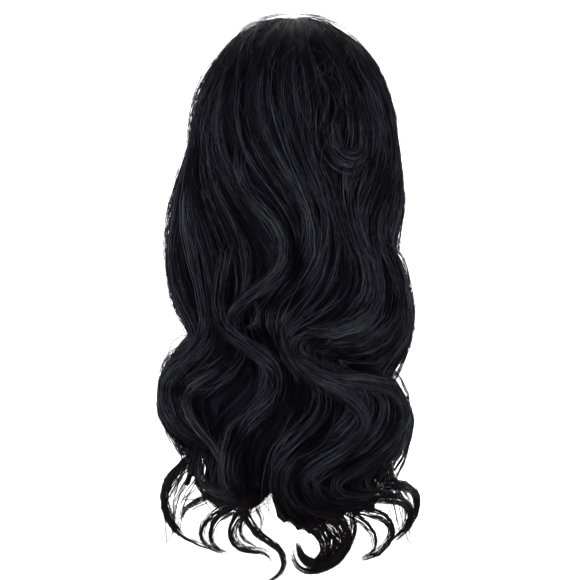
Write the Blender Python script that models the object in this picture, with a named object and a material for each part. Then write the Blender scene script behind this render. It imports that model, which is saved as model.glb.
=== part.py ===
"""A lace front wig of long black body-wave hair: cap, lace front, hair over the crown, hanging locks.

Frame: +Z up, +Y towards the face, +X to the wearer's right. The origin is the highest point of the
cap's inside, where the wearer's head touches it. Azimuth 0 is the middle of the back, 90 is over the
right ear, -90 over the left ear and 180 is the middle of the forehead.
"""

import math

import bmesh
import bpy
from mathutils import Vector

MM = 0.001

# Head that the cap fits, and the cap's own wall
HEAD_HALF_WIDTH = 76.5 * MM
HEAD_HALF_LENGTH = 95.0 * MM
HEAD_CROWN_HEIGHT = 110.0 * MM
CAP_WALL = 1.5 * MM
LACE_WALL = 1.0 * MM
GAP = 0.4 * MM
CAP_CLEARANCE = 0.9 * MM
WELD = 0.01 * MM

# The widest level of head, cap and hair: the hair leaves the dome there and hangs
EQUATOR_Z = -HEAD_CROWN_HEIGHT
HAIR_TOP_Z = 14.0 * MM
HAIRLINE_THICKNESS = 5.0 * MM
LOCK_VALLEY = 5.0 * MM
DOME_STEPS = 9
AZIMUTH_STEP = 10
LACE_START_AZIMUTH = 120
SHARP_ANGLE = math.radians(50)

# The edge of the cap, as an angle down from the crown: nape, behind the ear, over the ear, ear tab, hairline
CAP_EDGE = {
    "azimuth": (0, 35, 62, 84, 100, 116, 128, 145, 162, 180),
    "down": (112, 110, 104, 88, 88, 97, 88, 72, 64, 61),
}
CAP_PANELS = {
    "cap_back_left": (-90, 0),
    "cap_back_right": (0, 90),
    "cap_front_right": (90, 180),
    "cap_front_left": (-180, -90),
}
SEAM_GAP = 0.25 * MM
LACE_SEAM = 0.6 * MM
LACE_REACH = {"azimuth": (116, 128, 145, 180), "down": (1, 7, 9, 11)}

# Where the hair ends on the dome: it hangs on from the equator, and stops at the hairline over the face
HAIR_EDGE = {"azimuth": (0, 126, 133, 150, 165, 180), "down": (90, 90, 80, 69, 63, 61)}
FRONT_EDGE_AZIMUTH = 126.0
HAIRLINE_FADE = 24.0

# Soft ridges over the forehead: an azimuth, and how high it stands between valley (0) and ridge (1)
FRONT_RIDGES = ((126, 0.0), (133, 0.6), (142, 0.4), (152, 0.8), (163, 0.4), (174, 0.5), (180, 0.0))

# Hanging hair, a row for each height, in mm: outer reach to the back and the front, and the wall's thickness
BODY_COLUMNS = ("height", "back", "front", "wall")
BODY_ROWS = (
    (-110, 122, 118, 23),
    (-145, 120, 116, 22),
    (-180, 116, 110, 25),
    (-222, 120, 106, 28),
    (-265, 127, 100, 31),
    (-310, 117, 96, 29),
    (-345, 123, 98, 30),
    (-375, 129, 97, 31),
    (-405, 121, 92, 29),
    (-437, 112, 87, 26),
    (-470, 114, 86, 23),
)

# How the waves carry seven lines of hair sideways, a row for each height, in mm from the middle plane.
# The outer two lines are the outline of the hair seen from behind.
WAVE_COLUMNS = ("height", "left_edge", "left", "left_arc", "middle", "right_arc", "right", "right_edge")
WAVE_ROWS = (
    (-110, -102, -87, -52, -6, 22, 78, 104),
    (-145, -114, -95, -48, -6, 26, 75, 109),
    (-180, -126, -102, -28, 8, 37, 58, 112),
    (-222, -128, -94, -8, 10, 43, 73, 102),
    (-265, -124, -72, -46, -1, 43, 80, 118),
    (-310, -104, -87, -62, -22, -4, 28, 120),
    (-345, -131, -86, -30, -10, 8, 30, 96),
    (-375, -136, -66, -31, 9, 40, 62, 118),
    (-405, -127, -68, -48, -18, 28, 56, 120),
    (-437, -114, -84, -62, -28, -4, 38, 97),
    (-470, -132, -88, -56, -20, 12, 78, 122),
)
LOCKS_BETWEEN_LINES = (3, 2, 2, 2, 2, 3)
SIDE_LOCKS = 3
HANGING_STEPS = 21

# Where across a lock its rounded outer side has its edges
LOCK_PROFILE = (0.0, 0.2, 0.5, 0.8, 1.0)

# The free ends, a row for each lock: the length of its hook in mm, how far the hook turns sideways
# in degrees, and how far it stands out from the others in mm. Each hook tapers to a point.
END_COLUMNS = ("length", "turn", "stand_out")
BACK_ENDS = (
    (78, 108, 5),
    (88, 100, -9),
    (78, 95, 9),
    (74, 88, -14),
    (84, 70, 9),
    (82, 44, -5),
    (66, 22, 8),
    (62, -22, -8),
    (84, -32, 10),
    (80, -84, -12),
    (110, -92, 9),
    (86, -80, -9),
    (66, -84, 9),
    (60, -92, -4),
)
SIDE_ENDS = ((70, -94, -13), (78, -90, 5), (70, -100, -10))
END_STEPS = 6
END_THICKNESS = 0.1
WIDTH_TAPER = 1.2
DEPTH_TAPER = 1.3

HAIR_BLACK = (0.009, 0.009, 0.012, 1.0)
CAP_BLACK = (0.012, 0.012, 0.013, 1.0)
LACE_BROWN = (0.16, 0.085, 0.05, 1.0)


def clear_scene():
    for thing in list(bpy.data.objects):
        bpy.data.objects.remove(thing)


def finish_of(name, colour, roughness):
    material = bpy.data.materials.new(name)
    material.use_nodes = True
    shader = material.node_tree.nodes["Principled BSDF"]
    shader.inputs["Base Color"].default_value = colour
    shader.inputs["Roughness"].default_value = roughness
    shader.inputs["Metallic"].default_value = 0.0
    return material


def smooth_value(stations, values, at):
    """The value at a station, on a smooth curve through the given ones (cubic Hermite)."""
    at = min(max(at, stations[0]), stations[-1])
    last = len(stations) - 2
    k = next((i for i in range(last + 1) if at <= stations[i + 1]), last)

    def slope(i):
        low, high = max(i - 1, 0), min(i + 1, len(stations) - 1)
        return (values[high] - values[low]) / (stations[high] - stations[low])

    span = stations[k + 1] - stations[k]
    t = (at - stations[k]) / span
    rise = values[k + 1] - values[k]
    start = slope(k) * span - rise
    end = rise - slope(k + 1) * span
    return values[k] + t * rise + t * (1 - t) * ((1 - t) * start + t * end)


def column_at(columns, rows, name, height):
    """One named column of a table at a height in metres, in metres."""
    place = columns.index(name)
    heights = [-row[0] for row in rows]
    return MM * smooth_value(heights, [row[place] for row in rows], -height / MM)


def table_angle(table, azimuth):
    down = smooth_value(table["azimuth"], table["down"], abs(azimuth))
    return math.radians(down)


def body(name, height):
    return column_at(BODY_COLUMNS, BODY_ROWS, name, height)


def half_width(azimuth, height):
    edge = "right_edge" if azimuth >= 0 else "left_edge"
    return abs(column_at(WAVE_COLUMNS, WAVE_ROWS, edge, height))


def azimuth_of_column(name, height):
    """The azimuth, in degrees, of one of the table's lines of hair. The outer two are over the ears."""
    across = column_at(WAVE_COLUMNS, WAVE_ROWS, name, height)
    share = across / half_width(across, height)
    return math.degrees(math.asin(min(max(share, -1.0), 1.0)))


def azimuth_of_line(place, height):
    """The azimuth of a line of hair: places 0 to 6 are the table's lines, and a share is between two."""
    low = min(int(place), len(WAVE_COLUMNS) - 3)
    left = azimuth_of_column(WAVE_COLUMNS[low + 1], height)
    right = azimuth_of_column(WAVE_COLUMNS[low + 2], height)
    return left + (right - left) * (place - low)


def on_ellipse(azimuth, width, back, front):
    angle = math.radians(azimuth)
    depth = back if math.cos(angle) > 0 else front
    return width * math.sin(angle), -depth * math.cos(angle)


def hanging_point(azimuth, height, inset):
    """A point of the hanging hair, set in from its outer surface."""
    x, y = on_ellipse(
        azimuth,
        half_width(azimuth, height) - inset,
        body("back", height) - inset,
        body("front", height) - inset,
    )
    return Vector((x, y, height))


def head_point(azimuth, down, outward):
    """A point on the head's ellipsoid, grown outward by a wall or a gap."""
    ring = math.sin(down)
    x, y = on_ellipse(
        azimuth,
        (HEAD_HALF_WIDTH + outward) * ring,
        (HEAD_HALF_LENGTH + outward) * ring,
        (HEAD_HALF_LENGTH + outward) * ring,
    )
    return Vector((x, y, EQUATOR_Z + (HEAD_CROWN_HEIGHT + outward) * math.cos(down)))


def hair_dome_point(azimuth, down, inset):
    ring = math.sin(down)
    x, y = on_ellipse(
        azimuth,
        (half_width(azimuth, EQUATOR_Z) - inset) * ring,
        (body("back", EQUATOR_Z) - inset) * ring,
        (body("front", EQUATOR_Z) - inset) * ring,
    )
    return Vector((x, y, EQUATOR_Z + (HAIR_TOP_Z - EQUATOR_Z - inset) * math.cos(down)))


def solid(name, rings, finish):
    """A closed solid through rings of equally many points. Points that meet at the crown are merged."""
    mesh = bmesh.new()
    made = [[mesh.verts.new(point) for point in ring] for ring in rings]
    count = len(rings[0])
    for ring, after in zip(made, made[1:]):
        for k in range(count):
            j = (k + 1) % count
            mesh.faces.new((ring[k], ring[j], after[j], after[k]))
    mesh.faces.new(made[0])
    mesh.faces.new(made[-1])
    bmesh.ops.remove_doubles(mesh, verts=mesh.verts, dist=WELD)
    bmesh.ops.triangulate(mesh, faces=mesh.faces)
    bmesh.ops.recalc_face_normals(mesh, faces=mesh.faces)
    data = bpy.data.meshes.new(name)
    mesh.to_mesh(data)
    mesh.free()
    data.materials.append(finish)
    data.shade_smooth()
    data.set_sharp_from_angle(angle=SHARP_ANGLE)
    thing = bpy.data.objects.new(name, data)
    bpy.context.scene.collection.objects.link(thing)
    return thing


def make_cap(finish):
    """The stretch net in four panels, with seams from ear to ear and from the forehead to the nape."""
    for name, (first, last) in CAP_PANELS.items():
        rings = []
        for azimuth in range(first, last + 1, AZIMUTH_STEP):
            edge = table_angle(CAP_EDGE, azimuth)
            steps = [edge * k / DOME_STEPS for k in range(DOME_STEPS + 1)]
            outside = [head_point(azimuth, down, CAP_WALL) for down in reversed(steps)]
            inside = [head_point(azimuth, down, 0.0) for down in steps]
            rings.append(outside + inside)
        panel = solid(name, rings, finish)
        middle = math.radians((first + last) / 2)
        panel.location = Vector((math.sin(middle), -math.cos(middle), 0)) * SEAM_GAP


def make_lace_front(finish):
    """The sheer strip beyond the cap's front edge, from ear tab to ear tab."""
    rings = []
    for azimuth in range(LACE_START_AZIMUTH, 360 - LACE_START_AZIMUTH + 1, AZIMUTH_STEP):
        signed = azimuth if azimuth <= 180 else azimuth - 360
        start = table_angle(CAP_EDGE, signed) + LACE_SEAM / HEAD_HALF_LENGTH
        end = start + table_angle(LACE_REACH, signed)
        levels = (start, (start + end) / 2, end)
        outside = [head_point(signed, down, CAP_WALL) for down in levels]
        inside = [head_point(signed, down, CAP_WALL - LACE_WALL) for down in reversed(levels)]
        rings.append(outside + inside)
    return solid("lace_front", rings, finish)


def lock_bounds():
    """The two bounding lines of each back lock, from the left ear round to the right ear."""
    bounds = []
    for line, count in enumerate(LOCKS_BETWEEN_LINES):
        bounds += [(line + k / count, line + (k + 1) / count) for k in range(count)]
    return bounds


def side_bounds():
    """The azimuths that bound each lock in front of the ear, on the right side."""
    step = (FRONT_EDGE_AZIMUTH - 90) / SIDE_LOCKS
    return [(90 + k * step, 90 + (k + 1) * step) for k in range(SIDE_LOCKS)]


def dome_azimuths():
    """Azimuths at each lock's two sides and middle, with 1 at a lock's middle and 0 at its sides."""
    found = []
    for low, high in lock_bounds():
        found.append((azimuth_of_line(low, EQUATOR_Z), 0.0))
        found.append((azimuth_of_line((low + high) / 2, EQUATOR_Z), 1.0))
    return found + [(90.0, 0.0)]


def side_azimuths():
    found = []
    for low, high in side_bounds():
        found += [(low, 0.0), ((low + high) / 2, 1.0)]
    return found + list(FRONT_RIDGES)


def crown_ring(azimuth, ridge):
    """A closed outline through the crown's hair in one vertical plane: outer side up, inner side down."""
    edge = min(table_angle(HAIR_EDGE, azimuth), math.pi / 2)
    steps = [edge * k / DOME_STEPS for k in range(DOME_STEPS + 1)]
    outside = []
    for down in reversed(steps):
        inner = head_point(azimuth, down, CAP_WALL + CAP_CLEARANCE)
        outer = hair_dome_point(azimuth, down, LOCK_VALLEY * (1 - ridge) * math.sin(down))
        if abs(azimuth) > FRONT_EDGE_AZIMUTH:
            thin = (down / edge) ** 3 * min(1.0, (abs(azimuth) - FRONT_EDGE_AZIMUTH) / HAIRLINE_FADE)
            near = inner + (outer - inner).normalized() * HAIRLINE_THICKNESS
            outer = outer.lerp(near, thin)
        outside.append(outer)
    inside = [head_point(azimuth, down, CAP_WALL + CAP_CLEARANCE) for down in steps]
    return outside + inside


def make_crown(finish):
    """The hair over the cap, in the three sections that the ear-to-ear and middle partings make."""
    back = solid("crown_back", [crown_ring(*pair) for pair in dome_azimuths()], finish)
    back.location = (0, -GAP, 0)
    right = solid("crown_right", [crown_ring(*pair) for pair in side_azimuths()], finish)
    right.location = (GAP, 0, 0)
    mirrored = [crown_ring(-azimuth, ridge) for azimuth, ridge in side_azimuths()]
    left = solid("crown_left", mirrored, finish)
    left.location = (-GAP, 0, 0)


def lock_ring(low, high, height):
    """A level section of a lock: a rounded outer side between two valleys, and a plain inner side."""
    wall = body("wall", height)
    span = math.radians(high - low) * half_width(low, height)
    low += (high - low) * GAP / span
    high -= (high - low) * GAP / span
    outer = []
    for share in LOCK_PROFILE:
        inset = LOCK_VALLEY * (1 - math.sin(math.pi * share))
        outer.append(hanging_point(low + (high - low) * share, height, inset))
    return outer + [hanging_point(high, height, wall), hanging_point(low, height, wall)]


def round_the_head(angle):
    """The outward direction at an azimuth in radians, and the level direction of growing azimuth."""
    return Vector((math.sin(angle), -math.cos(angle), 0)), Vector((math.cos(angle), math.sin(angle), 0))


def end_rings(base, azimuth, length, turn, stand_out):
    """The hooked free end that carries a lock's last section on along an arc and tapers it to a point."""
    centre = sum(base, Vector()) / len(base)
    down = Vector((0, 0, -1))
    first_outward, first_along = round_the_head(math.radians(azimuth))
    rings = []
    place = centre.copy()
    for step in range(1, END_STEPS + 1):
        share = step / END_STEPS
        halfway = math.radians(turn) * (share - 0.5 / END_STEPS)
        moved = math.atan2(place.x, -place.y) - math.atan2(centre.x, -centre.y)
        outward, along = round_the_head(math.radians(azimuth) + moved)
        heading = down * math.cos(halfway) + along * math.sin(halfway)
        place = place + heading * length * MM / END_STEPS
        reached = math.radians(turn) * share
        across = along * math.cos(reached) - down * math.sin(reached)
        wide = max(1 - share, END_THICKNESS) ** WIDTH_TAPER
        thick = max(1 - share, END_THICKNESS) ** DEPTH_TAPER
        drift = outward * stand_out * MM * (1 - thick)
        rings.append([
            place + drift
            + across * (p - centre).dot(first_along) * wide
            + outward * (p - centre).dot(first_outward) * thick
            for p in base
        ])
    return rings


def make_lock(name, bounds_at, end, finish):
    """A hanging lock: level sections down to the free end, then the hook."""
    bottom = BODY_ROWS[-1][0] * MM
    top = EQUATOR_Z - GAP
    heights = [top + (bottom - top) * k / HANGING_STEPS for k in range(HANGING_STEPS + 1)]
    rings = [lock_ring(*bounds_at(height), height) for height in heights]
    low, high = bounds_at(bottom)
    rings += end_rings(rings[-1], (low + high) / 2, *end)
    return solid(name, rings, finish)


def make_back_locks(finish):
    for number, (low, high) in enumerate(lock_bounds(), start=1):

        def bounds_at(height, low=low, high=high):
            return azimuth_of_line(low, height), azimuth_of_line(high, height)

        make_lock(f"lock_back_{number:02d}", bounds_at, BACK_ENDS[number - 1], finish)


def make_side_locks(finish):
    for number, (low, high) in enumerate(side_bounds(), start=1):
        length, turn, stand_out = SIDE_ENDS[number - 1]
        right_end = (length, turn, stand_out)
        left_end = (length, -turn, stand_out)
        make_lock(f"lock_right_{number}", lambda height, a=low, b=high: (a, b), right_end, finish)
        make_lock(f"lock_left_{number}", lambda height, a=-high, b=-low: (a, b), left_end, finish)


def main():
    clear_scene()
    hair = finish_of("hair", HAIR_BLACK, 0.42)
    make_cap(finish_of("cap_net", CAP_BLACK, 0.8))
    make_lace_front(finish_of("lace", LACE_BROWN, 0.7))
    make_crown(hair)
    make_back_locks(hair)
    make_side_locks(hair)


main()
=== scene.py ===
# %% [markdown]
# # A long black wavy wig
#
# A wig is a stretch net cap with thousands of hairs tied into it. The hairs leave a parting on top, run over
# the head and hang in big soft waves, and their ends curl. We build it the same way: first the cap's place in
# the imported frame, then the lines that the locks of hair follow, then many thin strands along each line.
#
# ## Start from the frame
#
# The imported part gives the fixed frame: metres, +Z up, the back of the wig towards -Y, and the origin at the
# top of the cap's inside.

import math

import bpy
import numpy as np
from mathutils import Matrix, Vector


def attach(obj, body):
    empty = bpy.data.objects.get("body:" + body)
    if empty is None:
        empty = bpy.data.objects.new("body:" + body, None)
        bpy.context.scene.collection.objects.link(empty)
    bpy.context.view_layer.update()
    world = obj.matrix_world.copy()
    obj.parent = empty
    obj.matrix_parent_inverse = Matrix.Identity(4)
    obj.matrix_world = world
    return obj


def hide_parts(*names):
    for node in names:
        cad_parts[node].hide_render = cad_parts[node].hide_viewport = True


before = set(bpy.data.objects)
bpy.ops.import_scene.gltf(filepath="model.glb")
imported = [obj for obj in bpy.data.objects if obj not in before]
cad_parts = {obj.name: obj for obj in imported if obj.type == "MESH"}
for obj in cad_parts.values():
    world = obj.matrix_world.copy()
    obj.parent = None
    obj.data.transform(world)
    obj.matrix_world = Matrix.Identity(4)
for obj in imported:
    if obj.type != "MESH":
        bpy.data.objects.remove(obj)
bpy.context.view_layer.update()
scene = bpy.context.scene
chance = np.random.default_rng(24)
MM = 0.001

# %% [markdown]
# ## The shape that the hair makes
#
# The hair is a dome over the head and a wavy curtain below it. A curtain like this could be simulated, but its
# outline is what one sees first, so we read it off the photograph, by measuring where the wig's edge lies. One
# pixel is one millimetre. Each row is a height with the reach of the hair to the left, to the right, to the
# back and to the front. The photograph doesn't show the last two, so they are guessed.

# %% The outline of the hair
OUTLINE_COLUMNS = ("height", "left", "right", "back", "front")
OUTLINE_ROWS = (
    (-110, 102, 104, 121, 117),
    (-142, 113, 109, 120, 116),
    (-182, 126, 112, 117, 110),
    (-217, 127, 100, 119, 106),
    (-235, 127, 100, 123, 103),
    (-252, 127, 111, 126, 101),
    (-280, 118, 121, 124, 98),
    (-300, 105, 121, 119, 96),
    (-314, 97, 117, 117, 96),
    (-328, 121, 106, 119, 97),
    (-348, 131, 91, 122, 98),
    (-377, 136, 118, 128, 97),
    (-402, 128, 120, 123, 93),
    (-437, 112, 93, 113, 88),
    (-470, 133, 122, 114, 86),
    (-545, 130, 118, 108, 84),
)
OUTLINE_SMOOTHING = 25
EQUATOR, TOP_RISE = -110.0, 123.0
DOME_LEFT, DOME_RIGHT, DOME_BACK, DOME_FRONT = 104.0, 105.0, 120.0, 117.0
CURTAIN_REACH = {"left": (104, 136), "right": (106, 124)}
WIDENING_HEIGHT = 150


def outline(column, height):
    """The reach of the hair in mm at one or more heights, smoothed between the rows."""
    place = OUTLINE_COLUMNS.index(column)
    rows = np.array(OUTLINE_ROWS, float)
    dense = np.arange(rows[-1, 0], rows[0, 0] + 1)
    values = np.interp(dense, rows[::-1, 0], rows[::-1, place])
    window = np.hanning(OUTLINE_SMOOTHING)
    padded = np.pad(values, OUTLINE_SMOOTHING // 2, mode="edge")
    return np.interp(height, dense, np.convolve(padded, window / window.sum(), mode="valid"))


def envelope(column, height):
    """The same reach without its waves: a smooth curtain that no wave sticks out of."""
    first, last = CURTAIN_REACH[column]
    share = np.clip((EQUATOR - np.asarray(height, float)) / WIDENING_HEIGHT, 0, 1)
    return first + (last - first) * np.sin(share * math.pi / 2)


print("left reach at three heights:", [round(float(outline("left", z))) for z in (-200, -310, -375)])

# %% [markdown]
# ## A point on the hair
#
# Over the head the hair lies on half an egg. Below its widest level it hangs on an oval that changes with the
# height. One function gives the point and the outward direction for a sideways distance and a height, and one
# gives them for an azimuth: 0 is the middle of the back, 90 over the right ear.

# %% Points on the surface of the hair


def egg_ring(height):
    """How wide the dome is at a height, as a share of its widest level, and 1 below that level."""
    up = np.clip((np.asarray(height, float) - EQUATOR) / TOP_RISE, 0, 0.9999)
    return np.sqrt(1 - up * up)


def on_hair(azimuth, height, reach_left, reach_right):
    """Points in mm and outward directions, for azimuths in degrees and heights in mm."""
    angle = np.radians(azimuth)
    reach = np.where(angle < 0, reach_left, reach_right)
    depth = np.where(np.cos(angle) > 0, outline("back", height), outline("front", height))
    ring = egg_ring(height)
    points = np.stack([reach * ring * np.sin(angle), -depth * ring * np.cos(angle), height], -1)
    up = np.clip((height - EQUATOR) / TOP_RISE, 0, 1)
    outward = np.stack([np.sin(angle) * ring, -np.cos(angle) * ring, up], -1)
    return points, outward / np.linalg.norm(outward, axis=-1, keepdims=True)


def on_back(across, height):
    """Points on the back of the hair at a sideways distance, as seen from behind."""
    left, right = envelope("left", height), envelope("right", height)
    reach = np.where(across < 0, left, right) * egg_ring(height)
    azimuth = np.degrees(np.arcsin(np.clip(across / reach, -0.985, 0.985)))
    return on_hair(azimuth, height, left, right)


def on_side(azimuth, height):
    """Points over the ears and beside the face, where the waves push the hair in and out."""
    return on_hair(azimuth, height, outline("left", height), outline("right", height))


print("a point over the right ear:", on_side(np.array([90.0]), np.array([-150.0]))[0].round(0))

# %% [markdown]
# ## Where the locks run on the back
#
# Body-wave hair is set on thick rollers, so neighbouring hairs swing together, first to one side and then to
# the other. The swings differ from lock to lock, and that is what makes this wig look like itself. We read
# fourteen locks off the photograph: for each, how far it stands out from the others in mm, and then its turning
# points, as a distance to the right of the middle and a height.

# %% Locks of the back
BACK_LOCKS = {
    "edge_left": (0, (-79, -34), (-97, -72), (-113, -135), (-124, -202), (-127, -234), (-121, -268),
        (-108, -294), (-99, -311), (-114, -322), (-129, -334), (-136, -358), (-134, -384), (-123, -412),
        (-109, -432), (-119, -446), (-127, -460), (-127, -478), (-121, -490), (-112, -501)),
    "outer_left": (2, (-69, -34), (-92, -80), (-103, -128), (-105, -166), (-98, -204), (-88, -240),
        (-84, -272), (-82, -300), (-90, -320), (-112, -338), (-123, -358), (-118, -386), (-102, -410),
        (-99, -426), (-109, -440), (-120, -452), (-123, -468), (-118, -482), (-109, -492)),
    "left_drop": (-1, (-59, -22), (-83, -66), (-93, -108), (-89, -150), (-74, -190), (-58, -226), (-54, -258),
        (-60, -288), (-54, -312), (-58, -330), (-78, -344), (-99, -358), (-101, -382), (-88, -406),
        (-80, -426), (-86, -446), (-88, -459), (-76, -470), (-56, -474), (-40, -470), (-28, -460)),
    "left_inner": (3, (-51, -17), (-73, -60), (-80, -100), (-72, -140), (-52, -178), (-31, -206), (-19, -232),
        (-26, -256), (-50, -272), (-66, -288), (-60, -306), (-38, -318), (-26, -336), (-32, -358),
        (-54, -374), (-70, -394), (-72, -420), (-74, -444), (-70, -460), (-54, -468), (-38, -466)),
    "big_arc": (5, (-44, -12), (-58, -50), (-62, -92), (-54, -128), (-36, -160), (-14, -190), (-3, -220),
        (-14, -248), (-42, -266), (-62, -288), (-58, -310), (-34, -328), (-18, -350), (-26, -376),
        (-50, -396), (-60, -422), (-58, -448), (-46, -466), (-34, -472)),
    "under_arc": (-3, (-32, -7), (-44, -40), (-48, -80), (-40, -118), (-21, -150), (0, -180), (9, -210),
        (2, -238), (-20, -260), (-40, -282), (-38, -304), (-14, -326), (-4, -350), (-14, -380), (-36, -404),
        (-46, -432), (-44, -456), (-34, -469)),
    "middle_left": (1, (-12, -2), (-26, -30), (-31, -62), (-26, -96), (-10, -132), (8, -164), (19, -198),
        (17, -230), (2, -254), (-16, -276), (-18, -300), (2, -330), (10, -358), (-4, -392), (-26, -420),
        (-32, -446), (-30, -466)),
    "middle": (3, (4, -4), (-2, -32), (-4, -62), (2, -94), (10, -126), (22, -160), (32, -192), (33, -224),
        (24, -252), (8, -280), (-12, -304), (-2, -334), (18, -360), (8, -388), (-18, -412), (-27, -438),
        (-25, -464), (-16, -484), (2, -495), (18, -498)),
    "swirl_left": (0, (10, -10), (24, -40), (38, -68), (36, -96), (28, -120), (29, -142), (40, -160),
        (44, -180), (50, -206), (58, -234), (58, -258), (44, -282), (16, -296), (-8, -308), (-2, -330),
        (26, -350), (40, -370), (30, -394), (0, -418), (-16, -440), (-14, -464), (0, -484), (22, -494),
        (38, -492)),
    "swirl_right": (4, (28, -8), (48, -38), (62, -70), (71, -106), (69, -136), (58, -154), (54, -172),
        (60, -202), (72, -234), (75, -262), (60, -290), (30, -304), (4, -310), (4, -326), (32, -342),
        (62, -358), (66, -378), (46, -402), (16, -422), (-4, -444), (0, -464), (18, -478), (42, -484),
        (60, -480)),
    "right_inner": (0, (56, -17), (72, -58), (84, -98), (86, -134), (76, -164), (65, -190), (69, -218),
        (82, -246), (86, -268), (76, -292), (50, -308), (22, -309), (12, -322), (26, -338), (56, -347),
        (84, -360), (90, -384), (74, -408), (44, -426), (18, -442), (12, -458), (28, -470), (56, -472),
        (84, -468), (104, -464), (115, -473)),
    "right_drop": (4, (71, -22), (88, -62), (98, -102), (101, -136), (93, -170), (82, -198), (86, -226),
        (98, -252), (103, -276), (94, -302), (66, -320), (38, -322), (30, -334), (54, -345), (86, -351),
        (104, -368), (106, -392), (92, -418), (64, -436), (42, -448), (48, -459), (72, -461), (95, -457),
        (110, -459), (119, -470)),
    "outer_right": (-1, (83, -32), (96, -72), (105, -116), (108, -150), (104, -184), (96, -210), (104, -240),
        (115, -275), (108, -306), (86, -328), (66, -336), (72, -344), (94, -351), (109, -369), (114, -394),
        (105, -420), (86, -440), (76, -450), (88, -455), (105, -454), (116, -459), (121, -471)),
    "edge_right": (0, (88, -34), (99, -72), (107, -122), (110, -177), (100, -212), (100, -232), (112, -254),
        (122, -280), (117, -314), (99, -336), (89, -349), (104, -364), (119, -392), (113, -418), (98, -436),
        (91, -445), (107, -453), (120, -463), (122, -476), (116, -490)),
}
print(len(BACK_LOCKS), "locks on the back")

# %% [markdown]
# ## From turning points to a smooth path
#
# A lock has no corners, so a rounded curve goes through its turning points. A Catmull-Rom curve does that and
# needs no handles. We draw it as seen from behind, then push each of its points out onto the hair's surface.
# Before the first point the lock runs over the head from the parting, the shortest way round the dome.

# %% Smooth paths


def rounded(points, spacing):
    """A Catmull-Rom curve through points, as points of even spacing."""
    points = np.array(points, float)
    ends = [2 * points[0] - points[1], *points, 2 * points[-1] - points[-2]]
    pieces = []
    t = np.linspace(0, 1, 40, endpoint=False)[:, None]
    for a, b, c, d in zip(ends, ends[1:], ends[2:], ends[3:]):
        slope = (c - a) / 2
        slope_next = (d - b) / 2
        step = c - b
        bend = 3 * step - 2 * slope - slope_next
        twist = slope + slope_next - 2 * step
        pieces.append(b + slope * t + bend * t**2 + twist * t**3)
    dense = np.concatenate([*pieces, points[-1:]])
    return respaced(dense, spacing)


def respaced(dense, spacing):
    """The same line with its points at an even spacing."""
    lengths = np.concatenate([[0], np.cumsum(np.linalg.norm(np.diff(dense, axis=0), axis=1))])
    at = np.linspace(0, lengths[-1], max(4, int(lengths[-1] / spacing)))
    return np.stack([np.interp(at, lengths, column) for column in dense.T], -1)


def softened(values, reach):
    """Values along a line, each averaged with its neighbours up to a reach of samples, with fixed ends."""
    window = np.hanning(2 * reach + 3)[1:-1]
    padded = np.concatenate([np.repeat(values[:1], reach, 0), values, np.repeat(values[-1:], reach, 0)])
    return np.stack([np.convolve(c, window / window.sum(), mode="valid") for c in padded.T], -1)


print("points on a curve through three:", len(rounded([(0, 0), (10, -20), (0, -40)], 2.0)))

# %% [markdown]
# ## Over the head, and a path's own directions
#
# On a globe the shortest way between two places is part of a great circle, and hair that is combed down takes
# much the same way over a head. Along the whole path we also note three directions: along the hair, outward,
# and across. Strands are placed by these later, so they stay with their lock however it turns.

# %% Ways over the dome and finished paths


def over_the_dome(root, target):
    """Points in mm along the dome from one direction to another."""
    root, target = root / np.linalg.norm(root), target / np.linalg.norm(target)
    angle = math.acos(float(np.clip(root @ target, -1, 1)))
    t = np.linspace(0, 1, 24)[:, None]
    ways = (np.sin((1 - t) * angle) * root + np.sin(t * angle) * target) / math.sin(angle)
    sideways = np.where(ways[:, 0] < 0, DOME_LEFT, DOME_RIGHT)
    depth = np.where(ways[:, 1] < 0, outline("back", EQUATOR), outline("front", EQUATOR))
    return np.stack([ways[:, 0] * sideways, ways[:, 1] * depth, EQUATOR + ways[:, 2] * TOP_RISE], -1)


def direction_of(point):
    """The direction on the dome of a point in mm on its surface."""
    sideways = DOME_LEFT if point[0] < 0 else DOME_RIGHT
    depth = outline("back", EQUATOR) if point[1] < 0 else outline("front", EQUATOR)
    return np.array([point[0] / sideways, point[1] / depth, (point[2] - EQUATOR) / TOP_RISE])


SAMPLE = 2.0
LINE_SOFTENING, OUTWARD_SOFTENING = 7, 9


def finished_path(points):
    """A path with its points, directions along, across and out, and how far along each one is."""
    points = respaced(softened(respaced(points, SAMPLE), LINE_SOFTENING), SAMPLE)
    along = np.gradient(points, axis=0)
    along /= np.linalg.norm(along, axis=1, keepdims=True)
    up = np.clip((points[:, 2] - EQUATOR) / TOP_RISE, 0, 1)
    flat = points[:, :2] / (DOME_RIGHT, DOME_BACK)
    ring = np.hypot(flat[:, 0], flat[:, 1])[:, None] + 1e-6
    out = softened(np.column_stack([flat / ring * np.sqrt(1 - up * up)[:, None], up]), OUTWARD_SOFTENING)
    out -= along * (out * along).sum(1, keepdims=True)
    out /= np.linalg.norm(out, axis=1, keepdims=True)
    return {"points": points, "along": along, "out": out, "across": np.cross(along, out),
            "far": np.arange(len(points)) * SAMPLE}


print("the crown's direction:", direction_of(np.array([0.0, 0.0, EQUATOR + TOP_RISE])))

# %% [markdown]
# ## The parting
#
# From behind one sees no roots: the hair leaves a middle parting that runs from the hairline to the crown.
# Hair from the front of the parting falls beside the face, hair from its middle falls over the ears, and hair
# from the crown falls down the back. So a lock's root slides forward along the parting as the lock's place
# goes round the head.

# %% Lines from the parting down
PARTING_SIDE = 0.012


def root_direction(azimuth):
    """Where on the dome a lock leaves the parting."""
    tilt = math.radians(np.interp(abs(azimuth), (0, 40, 90, 126), (-4, 6, 24, 50)))
    side = -1 if azimuth < 0 else 1
    return np.array([PARTING_SIDE * side, math.sin(tilt), math.cos(tilt)])


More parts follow.
